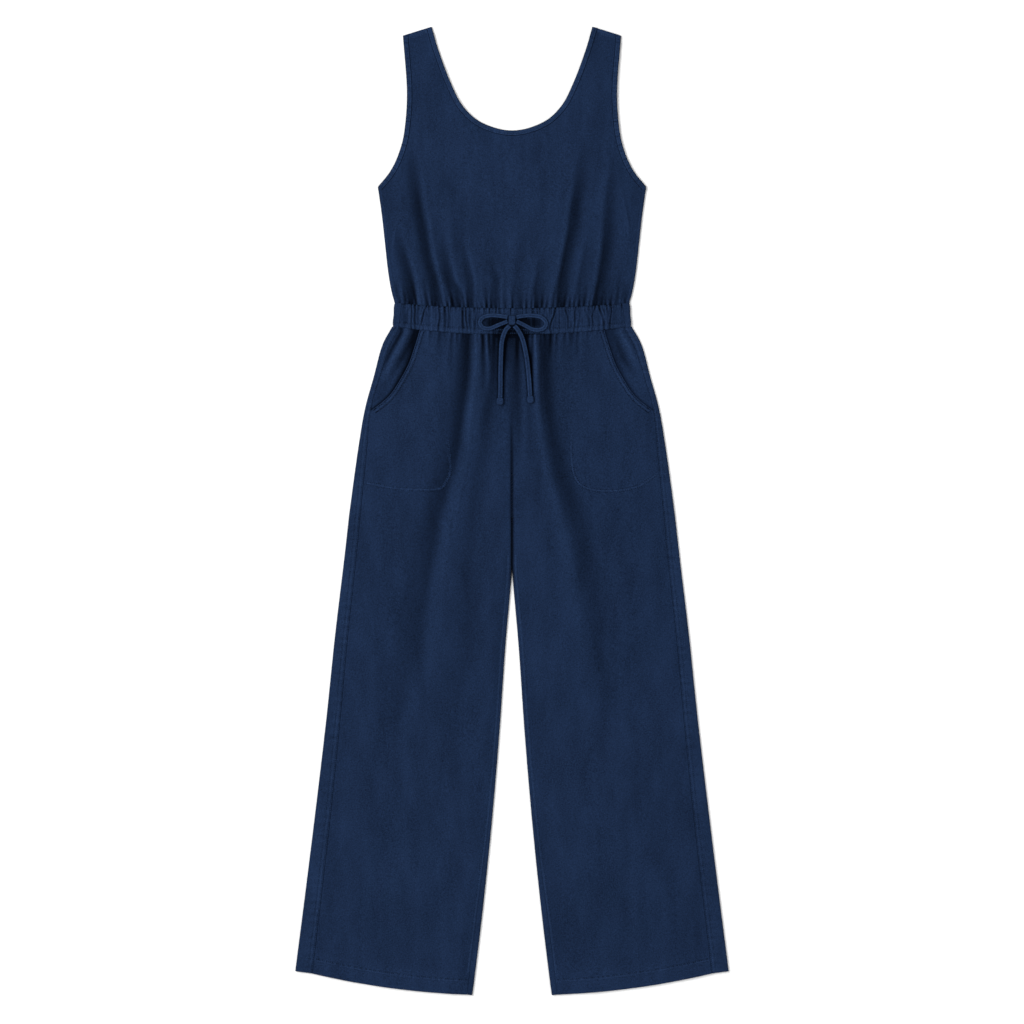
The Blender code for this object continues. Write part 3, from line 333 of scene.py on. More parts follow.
def spline(points, count):
    """count + 1 points, an even step apart, on a smooth curve through the given ones."""
    return resample(smooth_path(points), np.linspace(0, 1, count + 1))


def offset_curve(points, distance):
    """Each point moved to the left of the way the curve runs."""
    way = unit(np.gradient(points, axis=0))
    return points + distance * np.stack([-way[:, 1], way[:, 0]], axis=-1)


def distance_to(path, x, y):
    """The distance from each point to a path."""
    best = np.full(np.shape(x), 1e9)
    for (px, py), (qx, qy) in zip(path, path[1:]):
        dx, dy = qx - px, qy - py
        t = clamp01(((x - px) * dx + (y - py) * dy) / (dx * dx + dy * dy))
        best = np.minimum(best, np.hypot(x - px - t * dx, y - py - t * dy))
    return best


def band_top_y(x):
    return BAND_TOP_SIDE_Y - BAND_TOP_DIP * (1 - (x / BAND_HALF_WIDTH) ** 2)


def band_bottom_y(x):
    return BAND_BOTTOM_SIDE_Y - BAND_BOTTOM_DIP * (1 - (x / BAND_HALF_WIDTH) ** 2)


def band_y(x, share):
    """The y at a share of the waistband's height, clear of both seams."""
    return lerp(band_bottom_y(x) + SEAM_GAP / 2, band_top_y(x) - SEAM_GAP / 2, share)


def x_on(rows, y):
    """The x of a line of (x, y) rows at each y."""
    line = np.array(sorted(rows, key=lambda row: row[1]))
    return np.interp(y, line[:, 1], line[:, 0])


def ripple(x, y, length_x, length_y, seed):
    """Soft uneven waves, about -1 to 1, with the given wavelengths."""
    draw = np.random.default_rng(seed)
    total = 0.0
    for _ in range(7):
        fx, fy = draw.uniform(0.5, 1.6) / length_x, draw.uniform(-1.3, 1.3) / length_y
        total = total + np.sin(2 * math.pi * (fx * x + fy * y) + draw.uniform(0, 2 * math.pi))
    return total / 3.2


# Height of the cloth, and its painted shade: its colour darkened in the folds and lightened on the ridges as
# a painted highlight

# Depths in millimetres that are painted as full shade
SHADED_DEPTH, GATHER_DEPTH = 7.2, 5.0


def fold_profile(x, y, fold):
    """A fold's trough and the ridge on its steep side, as heights: all in millimetres."""
    path, width_start, width_end, start, middle, end, steep = fold
    line = smooth_path(path, 8)
    order = np.argsort(line[:, 1])
    middle_x = np.interp(y, line[order, 1], line[order, 0])
    first_y, last_y = path[0][1], path[-1][1]
    share = (y - first_y) / (last_y - first_y)
    on = clamp01(share)
    width = lerp(width_start, width_end, on)
    depth = np.interp(on, (0.0, 0.2, 0.6, 1.0), (start, lerp(start, middle, 0.3), middle, end))
    u = (x - middle_x) / width * (steep or 1)
    reach = np.where(u > 0, u / 0.75, u / 1.65) if steep else u
    ridge = 0.34 * (1 - 0.6 * on) * bell(u - 1.55, 0.62) if steep else 0.0
    return depth * bell(reach, 1.0, 2.1), depth * ridge


def fold_field(x, y, folds):
    """The summed height of the folds, and their painted shade: dark in the troughs, a painted highlight on
    the ridges.
    """
    height, shade = np.zeros(np.shape(x)), np.zeros(np.shape(x))
    for fold in folds:
        trough, ridge = fold_profile(1000 * x, 1000 * y, fold)
        height += (ridge - trough) / 1000
        shade += (trough - 1.9 * ridge) / SHADED_DEPTH
    return height, shade


def gathers(x, away, table):
    """Short creases under or over a gathered seam."""
    x, away = 1000 * x, 1000 * away
    height, shade = 0.0, 0.0
    for place, lean, width, length, depth in table:
        u = (x - place - lean * away) / (width * (1 + 0.8 * away / length))
        faded = depth * bell(away, length, 1.5)
        trough, ridge = faded * bell(u, 1.0), 0.30 * faded * two_bells(u, 2.1, 0.9)
        height = height + (ridge - trough) / 1000
        shade = shade + (1.5 * trough - 0.9 * ridge) / GATHER_DEPTH
    return height, shade


def puckers(x, away, reach, seed):
    """Fine gathers that start at a seam and die out away from it."""
    return ripple(x, 0.4 * away, 0.0075, 0.05, seed) * np.exp(-away / reach)


def gathered_rise(distance):
    return lerp(PUFF_START, 1.0, smooth(distance / PUFF_RISE_LENGTH))


def shoulder_y(x):
    return lerp(SHOULDER_Y, ARMHOLE[-1][1], (x - NECK[-1][0]) / (ARMHOLE[-1][0] - NECK[-1][0]))


def bodice_cloth(x, y):
    """The underside of the front bodice, and its shade."""
    rise = np.maximum(0.0, y - band_top_y(x))
    puff = BODICE_PUFF * gathered_rise(rise) * np.exp(-rise / BODICE_PUFF_FADE)
    puff = puff * (1 - np.clip(np.abs(x) / ARMHOLE[0][0], 0, 1) ** 4)
    height, shade = fold_field(x, y, BODICE_FOLDS)
    fine = puckers(x, rise, 0.014, 3)
    gathered, gathered_shade = gathers(x, rise, BODICE_GATHERS)
    height, shade = height + gathered, shade + gathered_shade
    waves = 0.0005 * ripple(x, y, 0.055, 0.30, 4) + 0.0003 * ripple(x, y, 0.024, 0.16, 5)
    inside = x_on(BODICE_SIDE, y) - BODICE_WRAP - np.abs(x)
    inside = np.where(y > ARMHOLE[0][1], SIDE_FLATTENING, inside)
    flat = smooth(inside / SIDE_FLATTENING)
    z = EDGE_Z + flat * (puff + height + 0.0009 * fine + waves) - SEAM_DIP * bell(rise, SEAM_DIP_WIDTH)
    below = shoulder_y(np.abs(x)) - y
    sewn = smooth((SHOULDER_BAND - below) / BAND_EDGE)
    z = z - SHOULDER_DROP * smooth(1 - below / SHOULDER_DROP_LENGTH) + 0.0004 * sewn
    shade = shade * (0.88 + 0.26 * np.exp(-rise / 0.030)) - 0.45 * fine * np.exp(-rise / 0.008)
    return soft_floor(z, LOWEST_FRONT_Z), shade - 0.45 * sewn


def under_tails(x, y):
    """The shade that the drawstring's tails throw beside themselves."""
    near = np.full(np.shape(x), 1.0)
    close = (np.abs(x) < 0.040) & (y > 0.150)
    for tail in (TAIL_LEFT, TAIL_RIGHT):
        path = [row[:2] for row in tail]
        near[close] = np.minimum(near[close], distance_to(path, x[close] - TAIL_SHADE_SHIFT, y[close]))
    return TAIL_SHADE * bell(near, TAIL_SHADE_WIDTH, 4)


def side_seam_x(y):
    return x_on([(row[1] - row[2], row[0]) for row in LEG], y)


def leg_cloth(x, y):
    """The underside of a front leg, and its shade."""
    fall = np.maximum(0.0, band_bottom_y(x) - y)
    puff = LEG_PUFF * gathered_rise(fall) * np.exp(-fall / LEG_PUFF_FADE)
    puff = puff * bell(x, LEG_PUFF_HALF_WIDTH, 4)
    height, shade = fold_field(x, y, LEG_FOLDS)
    fine = puckers(x, fall, 0.012, 7)
    gathered, gathered_shade = gathers(x, fall, LEG_GATHERS)
    height, shade = height + gathered, shade + gathered_shade
    waves = 0.0005 * ripple(x, y, 0.070, 0.50, 8) + 0.0003 * ripple(x, y, 0.030, 0.30, 9)
    crease_share = np.where(y > LEG[CROTCH_ROW][3], smooth((CREASE_TOP_Y - y) / CREASE_FADE), 0.0)
    crease = crease_share * bell(x, CREASE_HALF_WIDTH)
    side = side_seam_x(y) - np.abs(x)
    middle = np.abs(x) - x_on([(row[4] + row[5], row[3]) for row in LEG], y)
    inside = smooth(side / SIDE_FLATTENING)
    inside = inside * np.where(y < LEG[CROTCH_ROW][3], smooth(middle / SIDE_FLATTENING), 1.0)
    dips = CREASE_DEPTH * crease + SEAM_DIP * bell(fall, SEAM_DIP_WIDTH)
    z = EDGE_Z + inside * (puff + height + 0.0008 * fine + waves) - dips
    # Painted shadow behind the bow and below the knot, painted shade along the crease between the legs, and
    # the tails' painted shadow beside them
    behind_bow = bell(x, 0.030, 4) * np.exp(-fall / 0.045)
    shade = shade * (0.80 + 0.16 * np.exp(-fall / 0.060)) - 0.25 * fine * np.exp(-fall / 0.010)
    painted_shadow_below_knot = bell(x, BOW_SHADE_HALF, 6) * smooth((0.0052 - fall) / BAND_EDGE)
    shade = shade + 0.85 * crease + 0.26 * behind_bow + 0.75 * painted_shadow_below_knot + under_tails(x, y)
    return soft_floor(z, LOWEST_FRONT_Z), shade


def cloth_top(cloth, x, y):
    """The underside, the top and the shade of a cloth: its wall is as thick where it slopes."""
    z, shade = cloth(x, y)
    slope_x = (cloth(x + SLOPE_STEP, y)[0] - cloth(x - SLOPE_STEP, y)[0]) / (2 * SLOPE_STEP)
    slope_y = (cloth(x, y + SLOPE_STEP)[0] - cloth(x, y - SLOPE_STEP)[0]) / (2 * SLOPE_STEP)
    steepness = np.minimum(STEEPEST, np.sqrt(1 + slope_x**2 + slope_y**2))
    return z, z + CLOTH * steepness, shade


# Materials

# How far the weave's light and dark threads vary the colour
GRAIN = 0.60
# Where the cloth's plain colour lies between its painted highlight at 0 and its painted shade at 1
PLAIN_SHADE = 0.4


def set_inputs(node, values):
    for name, value in values.items():
        node.inputs[name.replace("_", " ")].default_value = value


def new_material(name, **values):
    material = bpy.data.materials.new(name)
    material.use_nodes = True
    set_inputs(material.node_tree.nodes["Principled BSDF"], values)
    return material


def add_node(tree, kind, *links, settings=None, **values):
    """A node with its settings, its inputs' values, and its links: inlet, source, the source's output."""
    made = tree.nodes.new(kind)
    for name, value in (settings or {}).items():
        setattr(made, name, value)
    set_inputs(made, values)
    for inlet, source, output in links:
        tree.links.new(source.outputs[output], made.inputs[inlet])
    return made


def stretched_noise(tree, scale, turn=0.0):
    """Noise in the object's own space, with its own scale along each axis, turned about the vertical."""
    place = add_node(tree, "ShaderNodeTexCoord")
    stretch = add_node(tree, "ShaderNodeMapping", ("Vector", place, "Object"),
                       settings={"vector_type": "TEXTURE"},
                       Scale=[1 / value for value in scale], Rotation=(0.0, 0.0, turn))
    return add_node(tree, "ShaderNodeTexNoise", ("Vector", stretch, "Vector"),
                    Scale=1.0, Detail=2.0, Roughness=0.6)


def math_node(tree, operation, *values):
    """Each value is a number, or a pair of a node and its output's name."""
    made = add_node(tree, "ShaderNodeMath", settings={"operation": operation})
    for k, value in enumerate(values):
        if isinstance(value, tuple):
            tree.links.new(value[0].outputs[value[1]], made.inputs[k])
        else:
            made.inputs[k].default_value = value
    return made


def cloth_material(name, colour, light, weave_depth=0.00022):
    """Matt woven cloth: slubs and heather in its colour, a fine weave in its bump, and painted shade from
    its shade attribute: dark in its folds, lighter on its ridges and edges as a painted highlight.
    """
    material = new_material(name, Roughness=0.92, Specular_IOR_Level=0.02, Sheen_Weight=0.01,
                            Sheen_Roughness=0.5)
    tree = material.node_tree
    shader = tree.nodes["Principled BSDF"]

    warp = stretched_noise(tree, (1300.0, 190.0, 600.0))
    weft = stretched_noise(tree, (190.0, 1300.0, 600.0))
    twill = stretched_noise(tree, (800.0, 380.0, 400.0), turn=0.9)
    heather = stretched_noise(tree, (640.0, 560.0, 560.0))
    cloud = stretched_noise(tree, (34.0, 12.0, 30.0))
    threads = math_node(tree, "ADD", (warp, "Fac"), (weft, "Fac"))
    grain = math_node(tree, "ADD", (twill, "Fac"), (heather, "Fac"))
    weave = math_node(tree, "MULTIPLY_ADD", (threads, "Value"), 0.5, (grain, "Value"))
    mottle = math_node(tree, "MULTIPLY_ADD", (cloud, "Fac"), 0.55, (weave, "Value"))
    spread = add_node(tree, "ShaderNodeMapRange", ("Value", mottle, "Value"),
                      From_Min=1.30, From_Max=2.25, To_Min=1 - GRAIN, To_Max=1 + GRAIN)

    # The shade attribute paints light and shade into the colour: painted highlight towards 0, painted shade
    # towards 1
    shade = add_node(tree, "ShaderNodeAttribute", settings={"attribute_name": "shade"})
    tone = add_node(tree, "ShaderNodeValToRGB", ("Fac", shade, "Fac"))
    ramp = tone.color_ramp
    ramp.elements[0].position, ramp.elements[0].color = 0.0, light
    ramp.elements[1].position, ramp.elements[1].color = 1.0, DARK
    ramp.elements.new(PLAIN_SHADE).color = colour
    scaled = add_node(tree, "ShaderNodeVectorMath", (0, tone, "Color"), ("Scale", spread, "Result"),
                      settings={"operation": "SCALE"})
    bump = add_node(tree, "ShaderNodeBump", ("Height", weave, "Value"), Strength=0.5, Distance=weave_depth)
    tree.links.new(scaled.outputs["Vector"], shader.inputs["Base Color"])
    tree.links.new(bump.outputs["Normal"], shader.inputs["Normal"])
    return material


# NAVY, TIE and THREAD are the colours of the cloth, the tie and the thread. DARK is the painted shade, and
# LIGHT, TIE_LIGHT and THREAD_LIGHT the painted highlights, that the shade attribute blends them towards
NAVY = (0.0079, 0.0174, 0.0450, 1.0)
DARK = (0.0008, 0.0019, 0.0052, 1.0)
LIGHT = (0.0114, 0.0246, 0.0624, 1.0)
TIE = (0.0092, 0.0202, 0.0516, 1.0)
TIE_LIGHT = (0.0138, 0.0295, 0.0735, 1.0)
THREAD = (0.0165, 0.0355, 0.0880, 1.0)
THREAD_LIGHT = (0.0200, 0.0425, 0.1030, 1.0)

LOOKS = {
    "cloth": cloth_material("navy_cloth", NAVY, LIGHT),
    "waistband": cloth_material("navy_waistband", NAVY, LIGHT),
    "binding": cloth_material("navy_binding", NAVY, LIGHT),
    "drawstring": cloth_material("navy_drawstring", TIE, TIE_LIGHT, 0.00015),
}
THREAD_LOOK = cloth_material("navy_thread", THREAD, THREAD_LIGHT, 0.00008)


# Meshes


SHARP_ANGLE = math.radians(50)


def put(name, data):
    """An object of the scene that shows the data."""
    made = bpy.data.objects.new(name, data)
    bpy.context.scene.collection.objects.link(made)
    return made


def add_piece(name, points, faces, slot, replaced=(), shade=0.0, look=None):
    """A closed mesh of the garment, on the frame's one body."""
    used, packed = np.unique(np.concatenate([f.ravel() for f in faces]), return_inverse=True)
    mesh = bpy.data.meshes.new(name)
    rows = []
    start = 0
    for group in faces:
        rows += packed[start : start + group.size].reshape(group.shape).tolist()
        start += group.size
    mesh.from_pydata(points[used].tolist(), [], rows)
    builder = bmesh.new()
    builder.from_mesh(mesh)
    bmesh.ops.recalc_face_normals(builder, faces=builder.faces)
    builder.to_mesh(mesh)
    builder.free()
    mesh.shade_smooth()
    mesh.set_sharp_from_angle(angle=SHARP_ANGLE)
    mesh.materials.append(look or LOOKS[slot])
    values = np.broadcast_to(shade, len(points))[used]
    layer = mesh.attributes.new("shade", "FLOAT", "POINT")
    values = clamp01(PLAIN_SHADE + (1 - PLAIN_SHADE) * values)
    layer.data.foreach_set("value", values.astype(np.float32))
    piece = put(name, mesh)
    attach(piece, "root")
    if replaced:
        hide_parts(*replaced)
    return piece


def wall_faces(rows, columns, cells):
    """Faces of a closed wall between two matching grids, where cells says so."""
    count = rows * columns
    grid = np.arange(count).reshape(rows, columns)
    a, b, c, d = grid[:-1, :-1], grid[:-1, 1:], grid[1:, 1:], grid[1:, :-1]
    faces = [np.stack([a, b, c, d], -1)[cells], np.stack([d, c, b, a], -1)[cells] + count]
    around = np.pad(cells, 1)
    for down, across, p, q in ((-1, 0, a, b), (0, 1, b, c), (1, 0, c, d), (0, -1, d, a)):
        beyond = around[1 + down : rows + down, 1 + across : columns + across]
        rim = cells & ~beyond
        faces.append(np.stack([q, p, p + count, q + count], -1)[rim])
    return faces


def wall_piece(name, top, bottom, slot, replaced, shade, cells=None):
    rows, columns = top.shape[:2]
    if cells is None:
        cells = np.ones((rows - 1, columns - 1), bool)
    points = np.vstack([top.reshape(-1, 3), bottom.reshape(-1, 3)])
    faces = wall_faces(rows, columns, cells)
    return add_piece(name, points, faces, slot, replaced, np.tile(shade.ravel(), 2))


def raised_piece(name, plan, cloth, replaced, cells=None, lift=None):
    """A front panel: its plan grid raised to the height that cloth(x, y) gives."""
    x, y = plan[..., 0], plan[..., 1]
    z, high, shade = cloth_top(cloth, x, y)
    # lift adds the sewing's height and its painted shade and painted highlight
    extra, painted_shading = lift(x, y) if lift else (0.0, 0.0)
    bottom = np.stack([x, y, z], -1)
    top = np.stack([x, y, high + extra], -1)
    return wall_piece(name, top, bottom, "cloth", replaced, shade + painted_shading, cells)


def tube_piece(name, rings, slot, replaced, shade):
    """A closed tube through rings of points, with a face over each end."""
    grid = np.arange(rings.shape[0] * rings.shape[1]).reshape(rings.shape[:2])
    after = np.roll(grid, -1, axis=1)
    faces = [np.stack([grid[:-1], after[:-1], after[1:], grid[1:]], -1).reshape(-1, 4)]
    faces += [grid[0][None, ::-1], grid[-1][None]]
    return add_piece(name, rings.reshape(-1, 3), faces, slot, replaced, shade)


# The stitched strip beside a side seam: distance from the seam, height and shade
STITCHED_STRIP = (
    (0.0000, -0.0006, 0.8), (0.0005, -0.0001, 0.1), (0.0008, 0.0001, -0.30), (0.0011, -0.0002, 0.40),
    (0.0021, -0.0002, 0.40), (0.0024, 0.0001, -0.30), (0.0034, 0.0003, -0.40), (0.0050, 0.0003, -0.40),
    (0.0060, 0.0001, -0.30), (0.0064, -0.0002, 0.22), (0.0074, -0.0002, 0.22), (0.0078, 0.0001, -0.25),
    (0.0086, 0.0001, -0.25),
)
STRIP_COUNT = len(STITCHED_STRIP)
# The first of each sunk pair of its rows, and how far the stitches lie from it
STRIP_STITCH_ROWS, STRIP_STITCH_AWAY = (3, 9), 0.0004
# The painted shade of cloth that turns over an edge: below 0, so a painted highlight
TURNED_SHADE = -0.15


def strip_squeeze(flat):
    """How much narrower the strip is where the flat beside the seam has no room for it."""
    return np.minimum(1.0, flat * 0.9 / STITCHED_STRIP[-1][0])


def side_fold(edge_x, seam_x, radius, wall, steps, stitched=False):
    """(x, z, shade) of the outer and inner faces of a fold, from its seam on the front to the back."""
    centre_x = edge_x - radius
    flat = centre_x - seam_x
    strip = np.array(STITCHED_STRIP)
    if not stitched:
        strip = strip * np.array([1.0, 1.0, 0.3])
        strip[1:, 1:] = (0.0, TURNED_SHADE)
    away = strip[:, 0] * strip_squeeze(flat)
    angle = math.pi / 2 - math.pi * np.arange(steps + 1) / steps
    faces = []
    for reach, deep in ((radius, 0.0), (radius - wall, 1.0)):
        top = np.stack([seam_x + away, radius + reach + strip[:, 1] * (1 - deep), strip[:, 2]], -1)
        arc_x, arc_z = centre_x + reach * np.cos(angle), radius + reach * np.sin(angle)
        arc = np.stack([arc_x, arc_z, np.full(angle.shape, TURNED_SHADE)], -1)
        faces.append(np.vstack([top, arc]))
    return faces


def folded_section(first, flat_x, flat_z, last):
    """(x, z, shade) across a back that lies flat between two folds, each given from its seam inwards."""
    flat = np.stack([flat_x, np.full(flat_x.shape, flat_z), np.zeros(flat_x.shape)], -1)
    return np.vstack([first[:-1], flat, last[:-1][::-1]])


# Camera, lights and floor


FLOOR_HALF, FLOOR_Z = 8.0, -0.0004
WHITE, WORLD_STRENGTH = (1.0, 1.0, 1.0, 1.0), 0.22
# Lights: name, power, diameter and place
LIGHTS = (
    ("key", 165.0, 2.8, (-1.9, 0.7, 3.1)),
    ("fill", 62.0, 3.0, (1.9, -0.9, 3.2)),
)


def make_stage():
    data = bpy.data.cameras.new("camera")
    data.lens, data.sensor_width = LENS, SENSOR
    camera = put("camera", data)
    camera.location = (0.0, VIEW_MIDDLE_Y, VIEW_HEIGHT * LENS / SENSOR)
    bpy.context.scene.camera = camera

    mesh = bpy.data.meshes.new("floor")
    half = FLOOR_HALF
    corners = [(-half, -half, 0), (half, -half, 0), (half, half, 0), (-half, half, 0)]
    mesh.from_pydata(corners, [], [(0, 1, 2, 3)])
    mesh.materials.append(
        new_material("pale_floor", Base_Color=(0.90, 0.90, 0.90, 1.0), Roughness=0.9, Specular_IOR_Level=0.1)
    )
    floor = put("floor", mesh)
    floor.location = (0, 0, FLOOR_Z)

    for name, power, size, place in LIGHTS:
        light = bpy.data.lights.new(name, "AREA")
        light.shape, light.size, light.energy = "DISK", size, power
        lamp = put(name, light)
        lamp.location = place
        lamp.rotation_euler = (-lamp.location).to_track_quat("-Z", "Y").to_euler()
    world = bpy.data.worlds.new("studio")
    world.use_nodes = True
    set_inputs(world.node_tree.nodes["Background"], {"Color": WHITE, "Strength": WORLD_STRENGTH})
    bpy.context.scene.world = world
    bpy.context.scene.view_settings.view_transform = "Standard"


make_stage()


# Drawstring


TIE_SIDES, LOOP_STEPS, TAIL_STEPS = 20, 90, 80


def flat_tie(name, points, width, replaced, count):
    """A flat narrow tie along its route: two soft edges with a shallow groove between them."""
    path = spline(points, count)
    way = unit(np.gradient(path, axis=0))
    side = unit(np.cross(way, (0.0, 0.0, 1.0)))
    up = np.cross(side, way)
    angle = 2 * math.pi * np.arange(TIE_SIDES) / TIE_SIDES
    across, rise = np.cos(angle), np.sin(angle)
    groove = 0.20 * bell(across, 0.34) * np.where(rise > 0, 1.0, 0.4)
    section_x, section_z = across * width / 2, rise * TIE_THICKNESS / 2 * (1 - groove)
    rings = path[:, None] + side[:, None] * section_x[:, None] + up[:, None] * section_z[:, None]
    # Painted shade in the groove and at the outermost edges, and a painted highlight along the edges
    groove_shade = 0.32 * bell(section_x, 0.17 * width) * (section_z > 0)
    across = np.abs(section_x) / width
    edge_shade = -0.45 * (across > 0.26) + 0.75 * (across > 0.46) - 0.1
    shade = np.tile(groove_shade + edge_shade, len(path))
    return tube_piece(name, rings, "drawstring", replaced, shade), path


def route_length(path):
    return float(np.linalg.norm(np.diff(path, axis=0), axis=1).sum())


def rounded_block(name, size, place, turn, replaced, pinch=0.0):
    """A soft rounded form for the knot and the tie's folded ends."""
    builder = bmesh.new()
    bmesh.ops.create_cube(builder, size=1.0)
    bmesh.ops.subdivide_edges(builder, edges=builder.edges[:], cuts=7, use_grid_fill=True)
    cos, sin = math.cos(turn), math.sin(turn)
    for vert in builder.verts:
        p = np.array(vert.co) * 2
        roundness = (np.abs(p) ** 4).sum() ** 0.25
        p = p / roundness
        squeeze = 1 - pinch * bell(p[1], 0.35)
        x, y, z = p[0] * size[0] / 2 * squeeze, p[1] * size[1] / 2, p[2] * size[2] / 2 * squeeze
        vert.co = (place[0] + cos * x - sin * y, place[1] + sin * x + cos * y, place[2] + z)
    mesh = bpy.data.meshes.new(name)
    builder.to_mesh(mesh)
    builder.free()
    points = np.array([v.co[:] for v in mesh.vertices])
    faces = [np.array([p.vertices[:] for p in mesh.polygons])]
    bpy.data.meshes.remove(mesh)
    # The knot and the tie's ends are painted a little lighter: a painted highlight
    return add_piece(name, points, faces, "drawstring", replaced, -0.10)


def make_drawstring():
    knot = rounded_block("knot_cloth", KNOT_SIZE, KNOT_PLACE, 0.0, ("drawstring_knot",), KNOT_PINCH)
    for word, loop, tail in (("left", LOOP_LEFT, TAIL_LEFT), ("right", LOOP_RIGHT, TAIL_RIGHT)):
        replaced = ("drawstring_loop_" + word,)
        piece, path = flat_tie("loop_cloth_" + word, loop, LOOP_WIDTH, replaced, LOOP_STEPS)
        last, before = np.array(tail[-1]), np.array(tail[-2])
        way = (last - before) / np.linalg.norm(last - before)
        place = last + way * (TIP_LENGTH / 2 + SEAM_GAP)
        place[2] = last[2] + TIP_RISE
        turn = math.atan2(way[1], way[0]) + math.pi / 2
        tip = rounded_block("tip_cloth_" + word, (TIP_WIDTH, TIP_LENGTH, TIP_HEIGHT), place, turn,
                            ("drawstring_tip_" + word,))
        replaced = ("drawstring_tail_" + word,)
        piece, path = flat_tie("tail_cloth_" + word, tail, TAIL_WIDTH, replaced, TAIL_STEPS)


make_drawstring()


# Bodice

STRAP_COLUMNS, NECK_COLUMNS, STRAP_ROWS, ARMHOLE_ROWS, SIDE_ROWS = 38, 176, 32, 40, 96
BACK_STRAP_COLUMNS, BACK_NECK_COLUMNS, BACK_STRAP_ROWS, BACK_ARMHOLE_ROWS, BACK_SIDE_ROWS = 8, 40, 20, 24, 60
BACK_EDGE_INSET = 0.0015
ARC_STEPS = 8


def split_path(points, count_below, count_above, before=None):
    """An edge from its low end to the shoulder, with a point level with the place where it splits."""
    path = smooth_path(points, 60, before)
    split = int(np.argmin(np.abs(path[:, 1] - NECK_SPLIT_Y)))
    below = resample(path[: split + 1], np.linspace(0, 1, count_below + 1))
    above = resample(path[split:], np.linspace(0, 1, count_above + 1))
    return np.vstack([below, above[1:]])


def mirrored(points):
    """(x, y) rows on the other side of the garment."""
    return points * MIRROR_X[:2]


def bound_edges(neck_columns, strap_rows, armhole_rows, inset=0.0):
    """The neck's edge from the right shoulder to the left, and the left armhole's from its low end up.

    Both may be moved in on the cloth, with their ends kept on the shoulder seam.
    """
    left = split_path(NECK, neck_columns // 2, strap_rows, mirrored(np.array(NECK[1])))
    neck = np.vstack([mirrored(left[::-1]), left[1:]])
    armhole = split_path(ARMHOLE, armhole_rows, strap_rows)
    if inset:
        slope = (neck[-1][1] - armhole[-1][1]) / (armhole[-1][0] - neck[-1][0])
        along = inset * np.array([1.0, -slope])
        ends = neck[-1] + along, armhole[-1] - along
        neck, armhole = offset_curve(neck, -inset), offset_curve(armhole, inset)
        neck[-1], armhole[-1] = ends
        neck[0] = mirrored(neck[-1])
    return neck, armhole


def bodice_plan(side, armhole, neck, strap_rows, columns_strap, columns_neck):
    """A grid over the bodice's outline: its lower rows cross it all, and its upper rows only the straps."""
    left = np.vstack([side, armhole[1 : len(armhole) - strap_rows]])
    columns = 2 * columns_strap + columns_neck
    u = np.linspace(0, 1, columns + 1)[None, :, None]
    share = np.linspace(0, 1, columns_strap + 1)[:, None]
    strap_top = lerp(left[-1], neck[strap_rows + columns_neck], share)
    top = np.vstack([mirrored(strap_top), neck[strap_rows + 1 : strap_rows + columns_neck], strap_top[::-1]])
    x = lerp(-left[0][0], left[0][0], u[0, :, 0])
    bottom = np.stack([x, band_top_y(x) + SEAM_GAP / 2], -1)
    v = ((left[:, 1] - left[0][1]) / (left[-1][1] - left[0][1]))[:, None, None]
    right = mirrored(left)
    plan = (1 - v) * bottom[None] + v * top[None] + (1 - u) * right[:, None] + u * left[:, None]
    low = (1 - u) * right[0] + u * left[0]
    high = (1 - u) * right[-1] + u * left[-1]
    plan = plan - (1 - v) * low - v * high
    outer = armhole[len(armhole) - strap_rows :]
    inner = neck[strap_rows + columns_neck + 1 :]
    strap = lerp(outer[:, None], inner[:, None], share[None])
    straps = np.zeros((strap_rows, columns + 1, 2))
    straps[:, : columns_strap + 1] = mirrored(strap)
    straps[:, columns_strap + columns_neck :] = strap[:, ::-1]
    cells = np.ones((len(left) - 1 + strap_rows, columns), bool)
    cells[len(left) - 1 :, columns_strap : columns_strap + columns_neck] = False
    return np.concatenate([plan, straps]), cells


def make_bodice_front():
    neck, armhole = bound_edges(NECK_COLUMNS, STRAP_ROWS, ARMHOLE_ROWS, BINDING_WIDTH + SEAM_GAP)
    rows = np.array(BODICE_SIDE) - np.array([BODICE_WRAP + SEAM_GAP / 2, 0.0])
    side = resample(smooth_path(rows), np.linspace(0, 1, SIDE_ROWS + 1) ** 1.15)
    side[0, 1] = band_top_y(side[0, 0]) + SEAM_GAP / 2
    armhole[0] = side[-1]
    plan, cells = bodice_plan(side, armhole, neck, STRAP_ROWS, STRAP_COLUMNS, NECK_COLUMNS)
    return raised_piece("bodice_front_cloth", plan, bodice_cloth, ("bodice_front",), cells)


